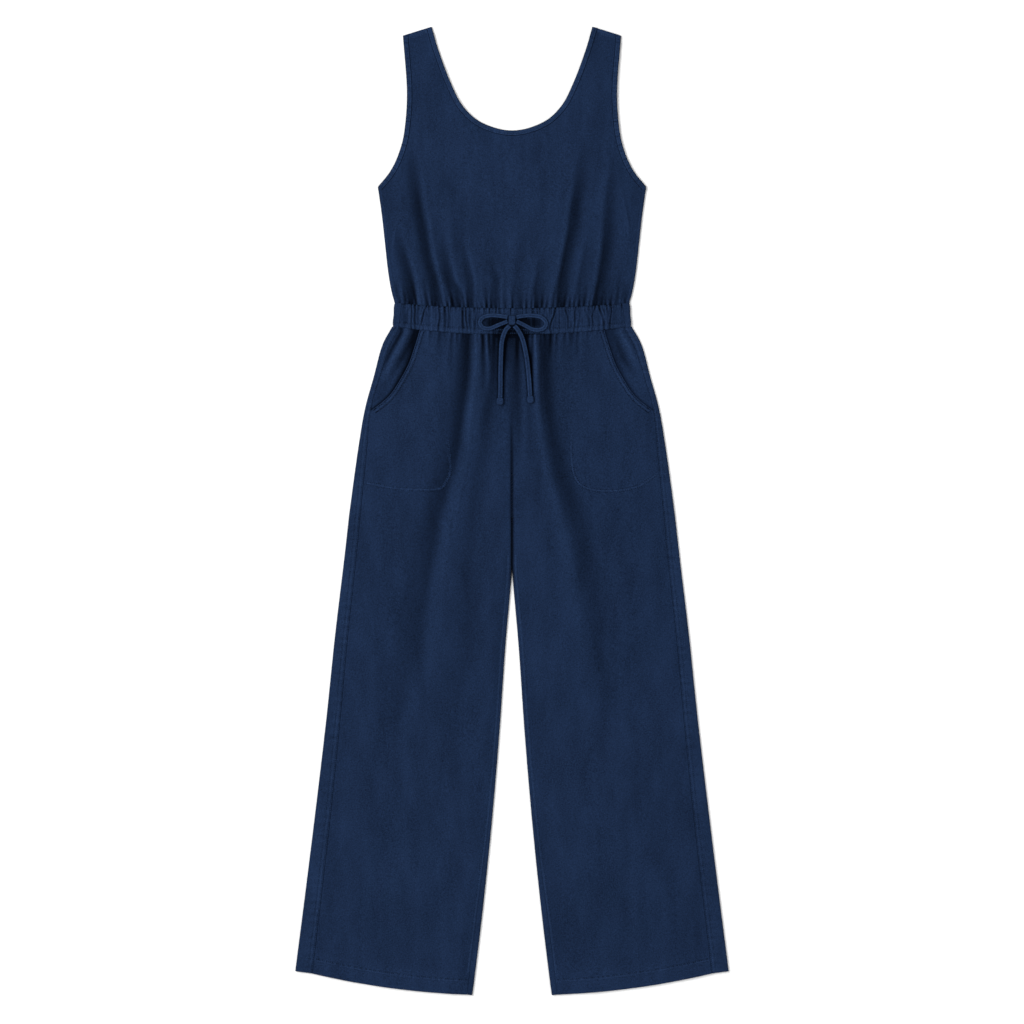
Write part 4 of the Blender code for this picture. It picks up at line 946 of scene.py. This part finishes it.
def make_bodice_back():
    """The back lies flat, and below the underarms it folds round to the side seams on the front."""
    neck, armhole = bound_edges(BACK_NECK_COLUMNS, BACK_STRAP_ROWS, BACK_ARMHOLE_ROWS, BACK_EDGE_INSET)
    edge = resample(smooth_path(BODICE_SIDE), np.linspace(0, 1, BACK_SIDE_ROWS + 1))
    flat_side = edge - np.array([FOLD_RADIUS, 0.0])
    flat_side[0, 1] = band_top_y(flat_side[0, 0]) + SEAM_GAP / 2
    armhole[0] = flat_side[-1]
    plan, cells = bodice_plan(
        flat_side, armhole, neck, BACK_STRAP_ROWS, BACK_STRAP_COLUMNS, BACK_NECK_COLUMNS
    )
    fold_rows = len(edge) - 1
    places = edge[np.minimum(np.arange(len(plan)), fold_rows)]
    folds = [
        side_fold(x, x - BODICE_WRAP + SEAM_GAP / 2, FOLD_RADIUS, CLOTH, ARC_STEPS) for x in places[:, 0]
    ]
    grids = []
    for face, z in ((0, 0.0), (1, CLOTH)):
        fold = np.array([faces[face] for faces in folds])[:, :-1]
        heights = places[:, 1:] * np.ones(fold.shape[:2])
        heights[0] = band_top_y(fold[0, :, 0]) + SEAM_GAP / 2
        left = np.stack([fold[..., 0], heights, fold[..., 1]], -1)
        flat = np.dstack([plan, np.full(plan.shape[:2], z)])
        grids.append(np.concatenate([left * MIRROR_X, flat, left[:, ::-1]], axis=1))
    # The folds' third column is painted shade: a painted highlight where the cloth turns over the edge,
    # painted shade at the seam
    painted_shading = fold[..., 2]
    shade = np.concatenate([painted_shading, np.zeros(plan.shape[:2]), painted_shading[:, ::-1]], axis=1)
    folded = np.zeros((len(plan) - 1, painted_shading.shape[1]), bool)
    folded[:fold_rows] = True
    return wall_piece("bodice_back_cloth", *grids, "cloth", ("bodice_back",), shade,
                      np.concatenate([folded, cells, folded], axis=1))


# A binding's section from its inner side over the top to the edge and back below: share of its
# width, height over the cloth's top, and shade
BINDING_STITCH_SHARE = 0.17
BINDING_COUNTS = (200, 60, 90)
BINDING_SECTION = (
    (0.000, -0.0003, 0.9), (0.060, 0.0001, 0.7), (0.120, 0.0005, -0.1), (0.250, 0.0007, -0.5),
    (0.450, 0.0005, -0.2), (0.650, 0.0007, -0.5), (0.830, 0.0006, -0.5), (0.930, 0.0002, 0.1),
    (1.000, -0.0006, 0.8), (0.950, -0.0013, 0.6), (0.800, -0.0014, 0.4), (0.000, -0.0014, 0.4),
)


def make_binding(name, edge, inside, replaced, rippled):
    share, rise, shade = np.array(BINDING_SECTION).T
    plan = lerp(inside[:, None], edge[:, None], share[None, :, None])
    z, _ = bodice_cloth(plan[..., 0], plan[..., 1])
    along = run_along(edge)
    wave = ripple(along, 0 * along, 0.0070, 1.0, 21)[:, None] * rippled
    on_top = (rise > 0.0001)[None]
    z = z + CLOTH + rise[None] + 0.00028 * wave * on_top
    # The binding's ripples are painted lighter and darker along its top: painted light and shade
    painted_shading = (shade[None] - 0.5 * wave * on_top).ravel()
    return tube_piece(name, np.dstack([plan, z]), "binding", (replaced,), painted_shading)


def make_bindings():
    made = []
    neck, armhole = bound_edges(*BINDING_COUNTS)
    neck_inside, armhole_inside = bound_edges(*BINDING_COUNTS, inset=BINDING_WIDTH)
    armhole_inside[0] = (BODICE_SIDE[-1][0] - BODICE_WRAP - SEAM_GAP / 2, BODICE_SIDE[-1][1] + 0.0003)
    made.append(make_binding("neck_tape", neck, neck_inside, "neck_binding", 0.25))
    corner = BODICE_SIDE[-1][1] + SEAM_GAP / 2
    armhole = np.vstack([(BODICE_SIDE[-1][0] + 0.0002, corner), armhole])
    armhole_inside = np.vstack([(armhole_inside[0][0], corner), armhole_inside])
    for word, flip in (("left", lambda line: line), ("right", mirrored)):
        made.append(make_binding("armhole_tape_" + word, flip(armhole), flip(armhole_inside),
                                 "armhole_binding_" + word, 1.0))
    return made


# Waistband

BAND_COLUMNS, BAND_ROWS = 400, 40
BAND_BACK_COLUMNS, BAND_BACK_ROWS, BAND_ARC_STEPS = 41, 13, 12
BAND_CREASE_DEPTH, BAND_CREASE_WIDTH = 0.0020, 0.0012
BAND_LOW_STITCH_SHARE, BAND_STITCH_SHARE, BAND_TOP_STITCH_SHARE = 0.06, 0.20, 0.90


def band_surface(x, v):
    """The waistband's height over its flat top, and its shade, at x and share of its height."""
    height, shade = np.zeros(np.shape(x)), np.zeros(np.shape(x))
    for depth, top, bottom, places in BAND_CREASES:
        down = (top - v) / (top - bottom)
        line = np.interp(clamp01(down), np.linspace(0, 1, len(places)), places) / 1000
        line = line + 0.0006 * np.sin(8 * v + 0.9 * places[0])
        width = BAND_CREASE_WIDTH * (1.1 + 0.45 * math.sin(1.3 * places[0])) * (1.25 - 0.35 * v)
        start, stop = (1.0 if top == 1 else 0.3), (1.0 if bottom < 0.06 else 0.3)
        fade = smooth(down * 5 + start) * smooth((1 - down) * 5 + stop)
        u = (x - line) / width
        trough, swell = depth * fade * bell(u, 1.0), depth * fade * two_bells(u, 2.2, 1.1)
        height += BAND_CREASE_DEPTH * (0.50 * swell - trough)
        shade += (0.55 + 0.40 * v) * trough - 0.36 * swell
    fine = ripple(x, v * 0.036, 0.0046, 0.16, 31)
    wide = ripple(x, v * 0.036, 0.019, 0.09, 32)
    edges = bell(v, 0.20) + 1.3 * bell(1 - v, 0.20)
    height += 0.0005 * fine * (edges + 0.35) + 0.0006 * wide
    shade -= 0.44 * fine * (edges + 0.30) + 0.16 * wide
    hemmed = smooth((BAND_STITCH_SHARE - v) / 0.02)
    shade = shade * (1 - 0.55 * hemmed) - 0.30 * hemmed
    seams = bell(v, 0.035) + bell(1 - v, 0.030) * (1 + 0.5 * fine)
    stitched, stitched_top = bell(v - BAND_STITCH_SHARE, 0.028), bell(v - BAND_TOP_STITCH_SHARE, 0.022)
    height -= 0.0009 * seams + 0.0004 * stitched + 0.0003 * stitched_top
    shade += 0.55 * seams + 0.55 * stitched + 0.25 * stitched_top
    # Painted shadow inside the drawstring's loops, behind the bow, and along the band's lower edge beneath
    # the loops
    inside_loops = bell(np.abs(x) - 0.026, 0.019, 4) * bell(v - 0.45, 0.20, 4)
    shade += (1.0 + 0.6 * bell(x, 0.024, 4)) * inside_loops
    shade += bell(x, BOW_SHADE_HALF, 4) * smooth((0.44 - v) / 0.20)
    shade += 0.7 * bell(x - 0.004, 0.049, 6) * smooth((0.20 - v) / 0.12)
    return height, shade


def make_waistband():
    v = np.linspace(0, 1, BAND_ROWS + 1)[:, None]
    u = np.linspace(-1, 1, BAND_COLUMNS + 1)[None]
    half = lerp(BAND_SEAM_BOTTOM_X, BAND_SEAM_TOP_X, v) - SEAM_GAP / 2
    x = u * half
    y = band_y(x, v)
    height, shade = band_surface(x, v)
    top = np.dstack([x, y, BAND_TOP_Z + height])
    bottom = np.dstack([x, y, np.full(x.shape, BAND_TOP_Z - BAND_WALL) + np.minimum(height, 0.0)])
    front = wall_piece("waistband_front_cloth", top, bottom, "waistband", ("waistband_front",), shade)
    grids = [[], []]
    for share in np.linspace(0, 1, BAND_BACK_ROWS):
        seam_x = lerp(BAND_SEAM_BOTTOM_X, BAND_SEAM_TOP_X, share) + SEAM_GAP / 2
        edge_x = BAND_HALF_WIDTH + 0.0008 - 0.0028 * share**3 + 0.0005 * math.sin(9 * share)
        faces = side_fold(edge_x, seam_x, BAND_FOLD_RADIUS, BAND_WALL, BAND_ARC_STEPS)
        flat_x = np.linspace(-1, 1, BAND_BACK_COLUMNS) * (edge_x - BAND_FOLD_RADIUS)
        for grid, fold, flat_z in zip(grids, faces, (0.0, BAND_WALL)):
            # The folds' third column is painted shade: a painted highlight where the cloth turns over the
            # edge
            section_x, section_z, painted_shading = folded_section(fold * MIRROR_X, flat_x, flat_z, fold).T
            grid.append(np.stack([section_x, band_y(section_x, share), section_z], -1))
    shade = np.tile(painted_shading, (BAND_BACK_ROWS, 1))
    back = wall_piece("waistband_back_cloth", *np.array(grids), "waistband", ("waistband_back",), shade)
    return front, back


# Legs

LEG_COLUMNS, MOUTH_STEPS = 180, 400
LEG_ROWS_ABOVE, LEG_ROWS_BELOW, HEM_ROWS = 140, 100, 8
BACK_ROWS_ABOVE, BACK_ROWS_BELOW = 110, 190
# Pocket bag's seam on the front legs, for the wearer's right and left: x, y
BAG_OUTLINE = {
    -1: (
        (-0.2183, 0.0420), (-0.1680, 0.0335), (-0.1130, 0.0330), (-0.0980, 0.0450), (-0.0925, 0.0620),
        (-0.0945, 0.0850), (-0.0975, 0.1065),
    ),
    1: (
        (0.2175, 0.0555), (0.1860, 0.0360), (0.1395, 0.0300), (0.1035, 0.0390), (0.0900, 0.0690),
        (0.0885, 0.1320),
    ),
}


def dense_ends(count):
    """Shares from 0 to 1 that lie closer together at both ends."""
    t = np.linspace(0, 1, count + 1)
    return t - 0.35 * np.sin(2 * math.pi * t) / (2 * math.pi)


def leg_rows(above, below, hem):
    """Places in the table of leg sections, counted in its rows: none between the two at the crotch."""
    return np.concatenate([
        np.linspace(0, CROTCH_ROW, above + 1),
        np.linspace(CROTCH_ROW + 1, HEM_LINE_ROW, below + 1),
        np.linspace(HEM_LINE_ROW, HEM_LINE_ROW + 1, hem + 1)[1:],
    ])


def leg_table(rows):
    """The columns of the leg table at those places, on smooth curves."""
    table = np.array(LEG)
    fine = smooth_path(table)
    at = np.linspace(0, len(table) - 1, len(fine))
    columns = [np.interp(rows, at, fine[:, k]) for k in range(table.shape[1])]
    columns[5] = np.where(rows <= CROTCH_ROW, 0.0, np.maximum(columns[5], LEAST_INSEAM_WRAP))
    columns[4] = np.where(rows <= CROTCH_ROW, 0.0, np.maximum(columns[4], 0.0))
    return columns


def leg_seams(rows, gap=0.0):
    """The side seam's and the inseam's points at those places, each moved in by a gap."""
    y_out, x_out, wrap, y_in, x_in, wrap_in = leg_table(rows)
    return np.stack([x_out - wrap - gap, y_out], -1), np.stack([x_in + wrap_in + gap, y_in], -1)


def row_y(x, outer, inner, rows):
    """The y of a leg's row at x: it follows the waist seam above, and bulges at the hem."""
    t = (outer[..., 0] - x) / (outer[..., 0] - inner[..., 0])
    seam_bend = band_bottom_y(x) - lerp(band_bottom_y(outer[..., 0]), band_bottom_y(inner[..., 0]), t)
    inside = clamp01(t)
    index = np.where(rows <= HEM_LINE_ROW, 2 * rows, 2 * HEM_LINE_ROW + (rows - HEM_LINE_ROW))
    hem_bend = HEM_BULGE * 4 * inside * (1 - inside) * smooth((index - 20) / 4)
    y = lerp(outer[..., 1], inner[..., 1], t) + seam_bend * smooth(1 - index / 4) - hem_bend
    return np.where(rows == 0, band_bottom_y(x) - SEAM_GAP / 2, y)


def mouth_line(count):
    return spline(POCKET_MOUTH, count)


def leg_lift(x, y):
    """What the sewing adds to a front leg: the pocket mouth's band and puckers along the bag's seam, in
    height and in painted shade: the band painted a little lighter, the puckers painted light and dark.
    """
    near_mouth = distance_to(mouth_line(30), np.abs(x), y)
    band = smooth((MOUTH_BAND - near_mouth) / 0.0025) * (y > MOUTH_LOW_Y)
    extra, shade = 0.0003 * band, -0.08 * band
    for word in (-1, 1):
        near = distance_to(spline(BAG_OUTLINE[word], 30), x, y)
        pucker = ripple(x + y, x - y, 0.0105, 0.03, 41 + word)
        trough = bell(near, 0.0060) * (x * word > 0)
        extra = extra + 0.0003 * trough * pucker
        shade = shade - trough * 0.12 * pucker
    return extra, shade


def make_leg_front(word, side):
    rows = leg_rows(LEG_ROWS_ABOVE, LEG_ROWS_BELOW, HEM_ROWS)
    outer, inner = leg_seams(rows, SEAM_GAP / 2)
    mouth = mouth_line(MOUTH_STEPS)
    for r in np.flatnonzero(rows < MOUTH_ROWS):
        outer[r] = mouth[int(round(rows[r] / MOUTH_ROWS * MOUTH_STEPS))]
    share = dense_ends(LEG_COLUMNS)[None]
    x = lerp(inner[:, :1], outer[:, :1], share)
    y = row_y(x, outer[:, None], inner[:, None], rows[:, None])
    hem = smooth((rows[:, None] - HEM_LINE_ROW + 0.15) / 0.1) * np.ones(x.shape)

    def lift(px, py):
        extra, shade = leg_lift(px, py)
        # The raised hem is painted a little lighter: a painted highlight
        return extra + HEM_LIFT * hem, shade - 0.15 * hem

    return raised_piece("leg_front_cloth_" + word, np.dstack([side * x, y]), leg_cloth,
                        ("leg_front_" + word,), lift=lift)


def make_leg_back(word, side):
    """The back lies flat and folds round both edges to the side seam and the inseam on the front."""
    rows = leg_rows(BACK_ROWS_ABOVE, BACK_ROWS_BELOW, HEM_ROWS)
    y_out, x_out, wrap, y_in, x_in, wrap_in = leg_table(rows)
    flat_share = np.linspace(0, 1, 25)
    grids, shade = [[], []], []
    for r, place in enumerate(rows):
        seam_x = x_out[r] - wrap[r] + SEAM_GAP / 2
        outer_faces = side_fold(x_out[r], seam_x, FOLD_RADIUS, CLOTH, ARC_STEPS, stitched=True)
        reach = max(wrap_in[r], FOLD_RADIUS + SEAM_GAP) - SEAM_GAP / 2
        inner_faces = side_fold(-x_in[r], -x_in[r] - reach, FOLD_RADIUS, CLOTH, ARC_STEPS)
        for face in inner_faces:
            # Painted shade on the inner fold's edge, where the legs touch
            edge = bell(face[:, 0] + x_in[r], 0.0026)
            face[:, 2] += 1.6 * edge * smooth((TOUCHING_X - x_in[r]) / TOUCHING_X)
        flat_inner = x_in[r] + FOLD_RADIUS if place > CROTCH_ROW else SEAM_GAP / 2
        flat = lerp(x_out[r] - FOLD_RADIUS, flat_inner, flat_share)
        outer = np.array([seam_x, y_out[r]])
        inner = np.array([x_in[r] + wrap_in[r] - SEAM_GAP / 2, y_in[r]])
        for grid, first, last, flat_z in zip(grids, outer_faces, inner_faces, (0.0, CLOTH)):
            # The third column is painted shade: a painted highlight where the cloth turns over an edge,
            # painted shade in the sunk stitch rows
            x, height, painted_shading = folded_section(first, flat, flat_z, last * MIRROR_X).T
            grid.append(np.stack([side * x, row_y(x, outer, inner, place), height], -1))
        shade.append(painted_shading)
    top, bottom, shade = np.array(grids[0]), np.array(grids[1]), np.array(shade)
    pucker = ripple(top[..., 1], 0 * top[..., 1], 0.0085, 1.0, 51 + side)
    strip = np.zeros(shade.shape)
    strip[:, :STRIP_COUNT] = 1.0
    top[..., 2] += 0.00018 * pucker * strip
    shade -= 0.22 * pucker * strip
    cells = np.ones((len(rows) - 1, shade.shape[1] - 1), bool)
    cells[: BACK_ROWS_ABOVE + 1, shade.shape[1] - len(inner_faces[0]) + 1 :] = False
    return wall_piece("leg_back_cloth_" + word, top, bottom, "cloth", ("leg_back_" + word,), shade, cells)


# Pocket facing, seen in the pocket mouth and hidden under the front below it

FACING_WALL, FACING_LOW_Z = 0.0010, 0.0016
FACING_INNER_X, FACING_LAST_ROW, FACING_CORNER_ROW = 0.116, 4.5, 3.0
FACING_CORNER_INSET, FACING_BOTTOM_SAG, FACING_BOTTOM_LIFT = 0.030, 0.010, 0.006
FACING_RISE_WIDTH = 0.022


def make_pocket_facing(word, side):
    rows = np.linspace(0, FACING_LAST_ROW, 91)
    y_out, x_out, wrap, y_in, _, _ = leg_table(rows)
    outer = np.stack([x_out - wrap - SEAM_GAP / 2, y_out], -1)
    inner = np.stack([
        np.full(rows.shape, FACING_INNER_X),
        lerp(y_out, y_in, (outer[:, 0] - FACING_INNER_X) / outer[:, 0]),
    ], -1)
    t = np.linspace(0, 1, 57)[None]
    rounded = smooth((rows - FACING_CORNER_ROW) / (FACING_LAST_ROW - FACING_CORNER_ROW))[:, None]
    x = lerp(outer[:, :1], FACING_INNER_X + FACING_CORNER_INSET * rounded**2 * t**3, t)
    y = row_y(x, outer[:, None], inner[:, None], rows[:, None])
    sag = FACING_BOTTOM_LIFT * t**4 - FACING_BOTTOM_SAG * np.sin(math.pi * np.minimum(1.0, t * 1.25))
    y = y + sag * smooth((rows[:, None] - FACING_LAST_ROW + 0.6) / 0.6)
    mouth = [tuple(p) for p in mouth_line(24)]
    high = EDGE_Z + CLOTH - FACING_WALL

    def underside(px, py):
        mouth_x, seam_x = x_on(mouth, py), side_seam_x(py)
        open_share = clamp01((np.abs(px) - mouth_x) / np.maximum(seam_x - mouth_x, FACING_RISE_WIDTH))
        z = lerp(FACING_LOW_Z, high, smooth(open_share))
        height, shade = fold_field(px, py, FACING_FOLDS[side])
        z = z + height * smooth(open_share * 2.5) * smooth((1 - open_share) * 5)
        below = py < POCKET_MOUTH[-1][1]
        # Painted shadow on the facing under the front's edge at the mouth; the part hidden below the mouth
        # is painted darker
        under_mouth = 0.9 * (1 - smooth(open_share * 3.2))
        z = np.where(below, FACING_LOW_Z, soft_floor(z, FACING_LOW_Z, 0.0002))
        return z, np.where(below, 0.5, 3.0 * shade + (0.95 - 0.25 * side) * under_mouth)

    return raised_piece("pocket_facing_cloth_" + word, np.dstack([side * x, y]), underside,
                        ("pocket_facing_" + word,))


# Stitches

STITCH_PITCH, STITCH_LENGTH, STITCH_RADIUS = 0.0030, 0.0022, 0.00032
STITCH_SIDES = 5
# Where a stitch's full thickness ends, as a share of its length from its middle
STITCH_SHOULDER = 0.34


def make_stitches(name, slot, lines):
    """Every stitch of the rows that follow the lines, as one piece of short thick threads."""
    angle = 2 * math.pi * np.arange(STITCH_SIDES) / STITCH_SIDES
    template = [(-0.5, 0.0, 0.0)]
    for place in (-STITCH_SHOULDER, STITCH_SHOULDER):
        template += [(place, math.cos(a), math.sin(a)) for a in angle]
    template = np.array(template + [(0.5, 0.0, 0.0)])
    template = template * np.array([STITCH_LENGTH, STITCH_RADIUS, STITCH_RADIUS])
    points = []
    for line in lines:
        line = np.asarray(line, float)
        count = max(1, int(route_length(line) / STITCH_PITCH))
        ends = resample(line, np.linspace(0, 1, count + 1))
        way = unit(np.diff(ends, axis=0))
        across = unit(np.cross((0.0, 0.0, 1.0), way))
        middle = (ends[:-1] + ends[1:]) / 2
        axes = np.stack([way, across, np.cross(way, across)], axis=1)
        points.append(middle[:, None] + np.einsum("ij,kjl->kil", template, axes))
    points = np.concatenate(points)
    count, size = points.shape[:2]
    first = np.arange(STITCH_SIDES) + 1
    after = np.roll(first, -1)
    starts = (np.arange(count) * size)[:, None, None]
    zero = np.zeros(STITCH_SIDES, int)
    caps = [np.stack([zero, after, first], -1),
            np.stack([zero + size - 1, first + STITCH_SIDES, after + STITCH_SIDES], -1)]
    sides = np.stack([first, after, after + STITCH_SIDES, first + STITCH_SIDES], -1)
    faces = [(starts + part[None]).reshape(-1, part.shape[-1]) for part in (*caps, sides)]
    return add_piece(name, points.reshape(-1, 3), faces, slot, look=THREAD_LOOK)


# Sections of the sewn strips: distance inwards from their line, height over the cloth, shade
MOUTH_SECTION = (
    (-0.0001, -0.0002, 0.3), (0.0002, 0.0004, -0.80), (0.0007, 0.0005, -0.70), (0.0010, 0.0002, 0.90),
    (0.0022, 0.0002, 0.90), (0.0026, 0.0005, -0.25), (0.0042, 0.0006, -0.28), (0.0056, 0.0005, -0.25),
    (0.0060, 0.0002, 0.90), (0.0072, 0.0002, 0.90), (0.0076, 0.0004, -0.22), (0.0080, 0.0003, -0.1),
    (0.0086, -0.0003, 0.0),
)
BAG_SECTION = (
    (-0.0036, -0.0004, 0.1), (-0.0027, 0.0001, -0.20), (-0.0023, 0.0001, 0.75), (-0.0014, 0.0001, 0.75),
    (-0.0010, 0.0003, -0.40), (0.0, 0.0004, -0.60), (0.0010, 0.0003, -0.40), (0.0014, 0.0001, 0.75),
    (0.0023, 0.0001, 0.75), (0.0027, 0.0001, -0.20), (0.0036, -0.0004, 0.1),
)
INSEAM_SECTION = (
    (0.0001, -0.0003, 0.5), (0.0007, 0.0002, -0.4), (0.0022, 0.0003, -0.60), (0.0034, 0.0002, -0.50),
    (0.0036, 0.0000, 0.55), (0.0045, 0.0000, 0.55), (0.0048, 0.0001, -0.1), (0.0054, -0.0004, 0.0),
)
HEM_SECTION = (
    (-0.0022, 0.0002, 0.0), (-0.0011, 0.0006, -0.15), (-0.0007, 0.0005, 0.75), (0.0007, 0.0005, 0.75),
    (0.0011, 0.0009, -0.55), (0.0026, 0.0009, -0.50), (0.0040, 0.0003, 0.0),
)
# The folded hem stands this much higher than the leg
HEM_LIFT = 0.0005
STRIP_WALL = 0.0005


def leg_top(x, y):
    _, high, shade = cloth_top(leg_cloth, x, y)
    # leg_lift adds the sewing's height and its painted shade and painted highlight
    extra, painted_shading = leg_lift(x, y)
    return high + extra, shade + painted_shading


def make_strip(name, line, section, side, fade=0.0):
    """A sewn strip that lies on a front leg along a line of (x, y) rows, given for the left leg."""
    # The section's third column is painted shade: darker sunk rows, and lighter raised bands as a painted
    # highlight
    away, rise, painted_shading = np.array(section).T
    plan = np.stack([offset_curve(line, -distance) for distance in away], axis=1)
    x, y = side * plan[..., 0], plan[..., 1]
    high, shade = leg_top(x, y)
    along = np.linspace(0, 1, len(line))[:, None]
    strength = 1 - fade * smooth((along - 0.75) / 0.25)
    pucker = ripple(along * route_length(line), 0 * along, 0.0080, 1.0, 61 + side)
    z = high + rise * strength + 0.00010 * pucker
    top = np.stack([x, y, z], -1)
    bottom = top - np.array([0.0, 0.0, STRIP_WALL])
    return wall_piece(name, top, bottom, "cloth", (), shade + painted_shading * strength * (1 - 0.35 * pucker))


def inseam_line(count):
    return leg_seams(np.linspace(CROTCH_ROW + 1.8, HEM_LINE_ROW + 0.96, count))[1]


def hem_line(count, beyond_seam=False):
    """The hem's stitch line: over the front of a leg, or on over the back's strip to the side."""
    place = HEM_LINE_ROW + 0.06
    (outer,), (inner,) = leg_seams(np.array([place]))
    if beyond_seam:
        x = np.linspace(leg_table(np.array([place]))[1][0] - FOLD_RADIUS, outer[0] + 0.001, count)
    else:
        x = np.linspace(outer[0] - 0.001, inner[0] + 0.001, count)
    return np.stack([x, row_y(x, outer, inner, place)], -1)


def make_strips(word, side):
    mouth = offset_curve(mouth_line(150), -0.0001)
    bag = spline(BAG_OUTLINE[side], 180) * np.array([side, 1.0])
    return [
        make_strip("pocket_mouth_strip_" + word, mouth[:-4], MOUTH_SECTION, side),
        make_strip("pocket_bag_strip_" + word, bag, BAG_SECTION, side, fade=0.8),
        make_strip("inseam_strip_" + word, inseam_line(260)[::-1], INSEAM_SECTION, side),
        make_strip("hem_strip_" + word, hem_line(130)[::-1], HEM_SECTION, side),
    ]


def on_leg(line, side, lift=0.0):
    """A line of (x, y) rows, laid on the top of a front leg."""
    x, y = side * line[:, 0], line[:, 1]
    return np.stack([x, y, leg_top(x, y)[0] + lift + 0.0002 + STITCH_RADIUS / 3], -1)


def leg_stitch_lines(side):
    lines = []
    mouth = mouth_line(60)
    for away in MOUTH_STITCHES:
        lines.append(on_leg(offset_curve(mouth, -away)[1:-4], side))
    outline = spline(BAG_OUTLINE[side], 60) * np.array([side, 1.0])
    for away in (-BAG_STITCH_AWAY, BAG_STITCH_AWAY):
        lines.append(on_leg(offset_curve(outline, away), side))
    lines.append(on_leg(offset_curve(inseam_line(200)[::-1], -0.0040), side))
    lines.append(on_leg(hem_line(120), side, HEM_LIFT))
    over_side = hem_line(12, beyond_seam=True) * np.array([side, 1.0])
    z = np.full((len(over_side), 1), 2 * FOLD_RADIUS + 0.0003 + STITCH_RADIUS / 3)
    lines.append(np.hstack([over_side, z]))
    rows = leg_rows(60, 120, 4)
    _, x_out, wrap, *_ = leg_table(rows)
    outer, inner = leg_seams(rows)
    for k in STRIP_STITCH_ROWS:
        away, high, _ = STITCHED_STRIP[k]
        away = (away + STRIP_STITCH_AWAY) * strip_squeeze(wrap - FOLD_RADIUS - SEAM_GAP / 2)
        x = x_out - wrap + SEAM_GAP / 2 + away
        z = np.full(x.shape, 2 * FOLD_RADIUS + high + STITCH_RADIUS / 3)
        lines.append(np.stack([side * x, row_y(x, outer, inner, rows), z], -1)[1:])
    return lines


def bodice_stitch_lines():
    neck, armhole = bound_edges(*BINDING_COUNTS)
    neck_inside, armhole_inside = bound_edges(*BINDING_COUNTS, inset=BINDING_WIDTH)
    plans = [lerp(neck_inside, neck, BINDING_STITCH_SHARE)]
    armhole_row = lerp(armhole_inside, armhole, BINDING_STITCH_SHARE)[3:]
    plans += [armhole_row, mirrored(armhole_row)]
    lines = []
    for plan in plans:
        z = bodice_cloth(plan[:, 0], plan[:, 1])[0] + CLOTH + 0.0006 + STITCH_RADIUS / 3
        lines.append(np.column_stack([plan, z]))
    for side in (-1, 1):
        x = np.linspace(NECK[-1][0] + BINDING_WIDTH + 0.001, ARMHOLE[-1][0] - BINDING_WIDTH - 0.001, 20)
        y = shoulder_y(x) - SHOULDER_BAND - BAND_EDGE
        z = cloth_top(bodice_cloth, side * x, y)[1] + STITCH_RADIUS / 3
        lines.append(np.stack([side * x, y, z], -1))
    return lines


def band_stitch_lines():
    lines = []
    for v in (BAND_LOW_STITCH_SHARE, BAND_STITCH_SHARE, BAND_TOP_STITCH_SHARE):
        half = lerp(BAND_SEAM_BOTTOM_X, BAND_SEAM_TOP_X, v) - 0.001
        x = np.linspace(-half, half, 400)
        z = BAND_TOP_Z + band_surface(x, v)[0] + STITCH_RADIUS / 2
        lines.append(np.stack([x, band_y(x, v), z], -1))
    return lines


def make_garment():
    bodice_front, bodice_back = make_bodice_front(), make_bodice_back()
    neck, *armholes = make_bindings()
    band_front, band_back = make_waistband()
    for side, word in ((1, "left"), (-1, "right")):
        front, back = make_leg_front(word, side), make_leg_back(word, side)
        facing, strips = make_pocket_facing(word, side), make_strips(word, side)
        make_stitches("leg_stitches_" + word, "cloth", leg_stitch_lines(side))
    make_stitches("binding_stitches", "binding", bodice_stitch_lines())
    make_stitches("waistband_stitches", "waistband", band_stitch_lines())


make_garment()
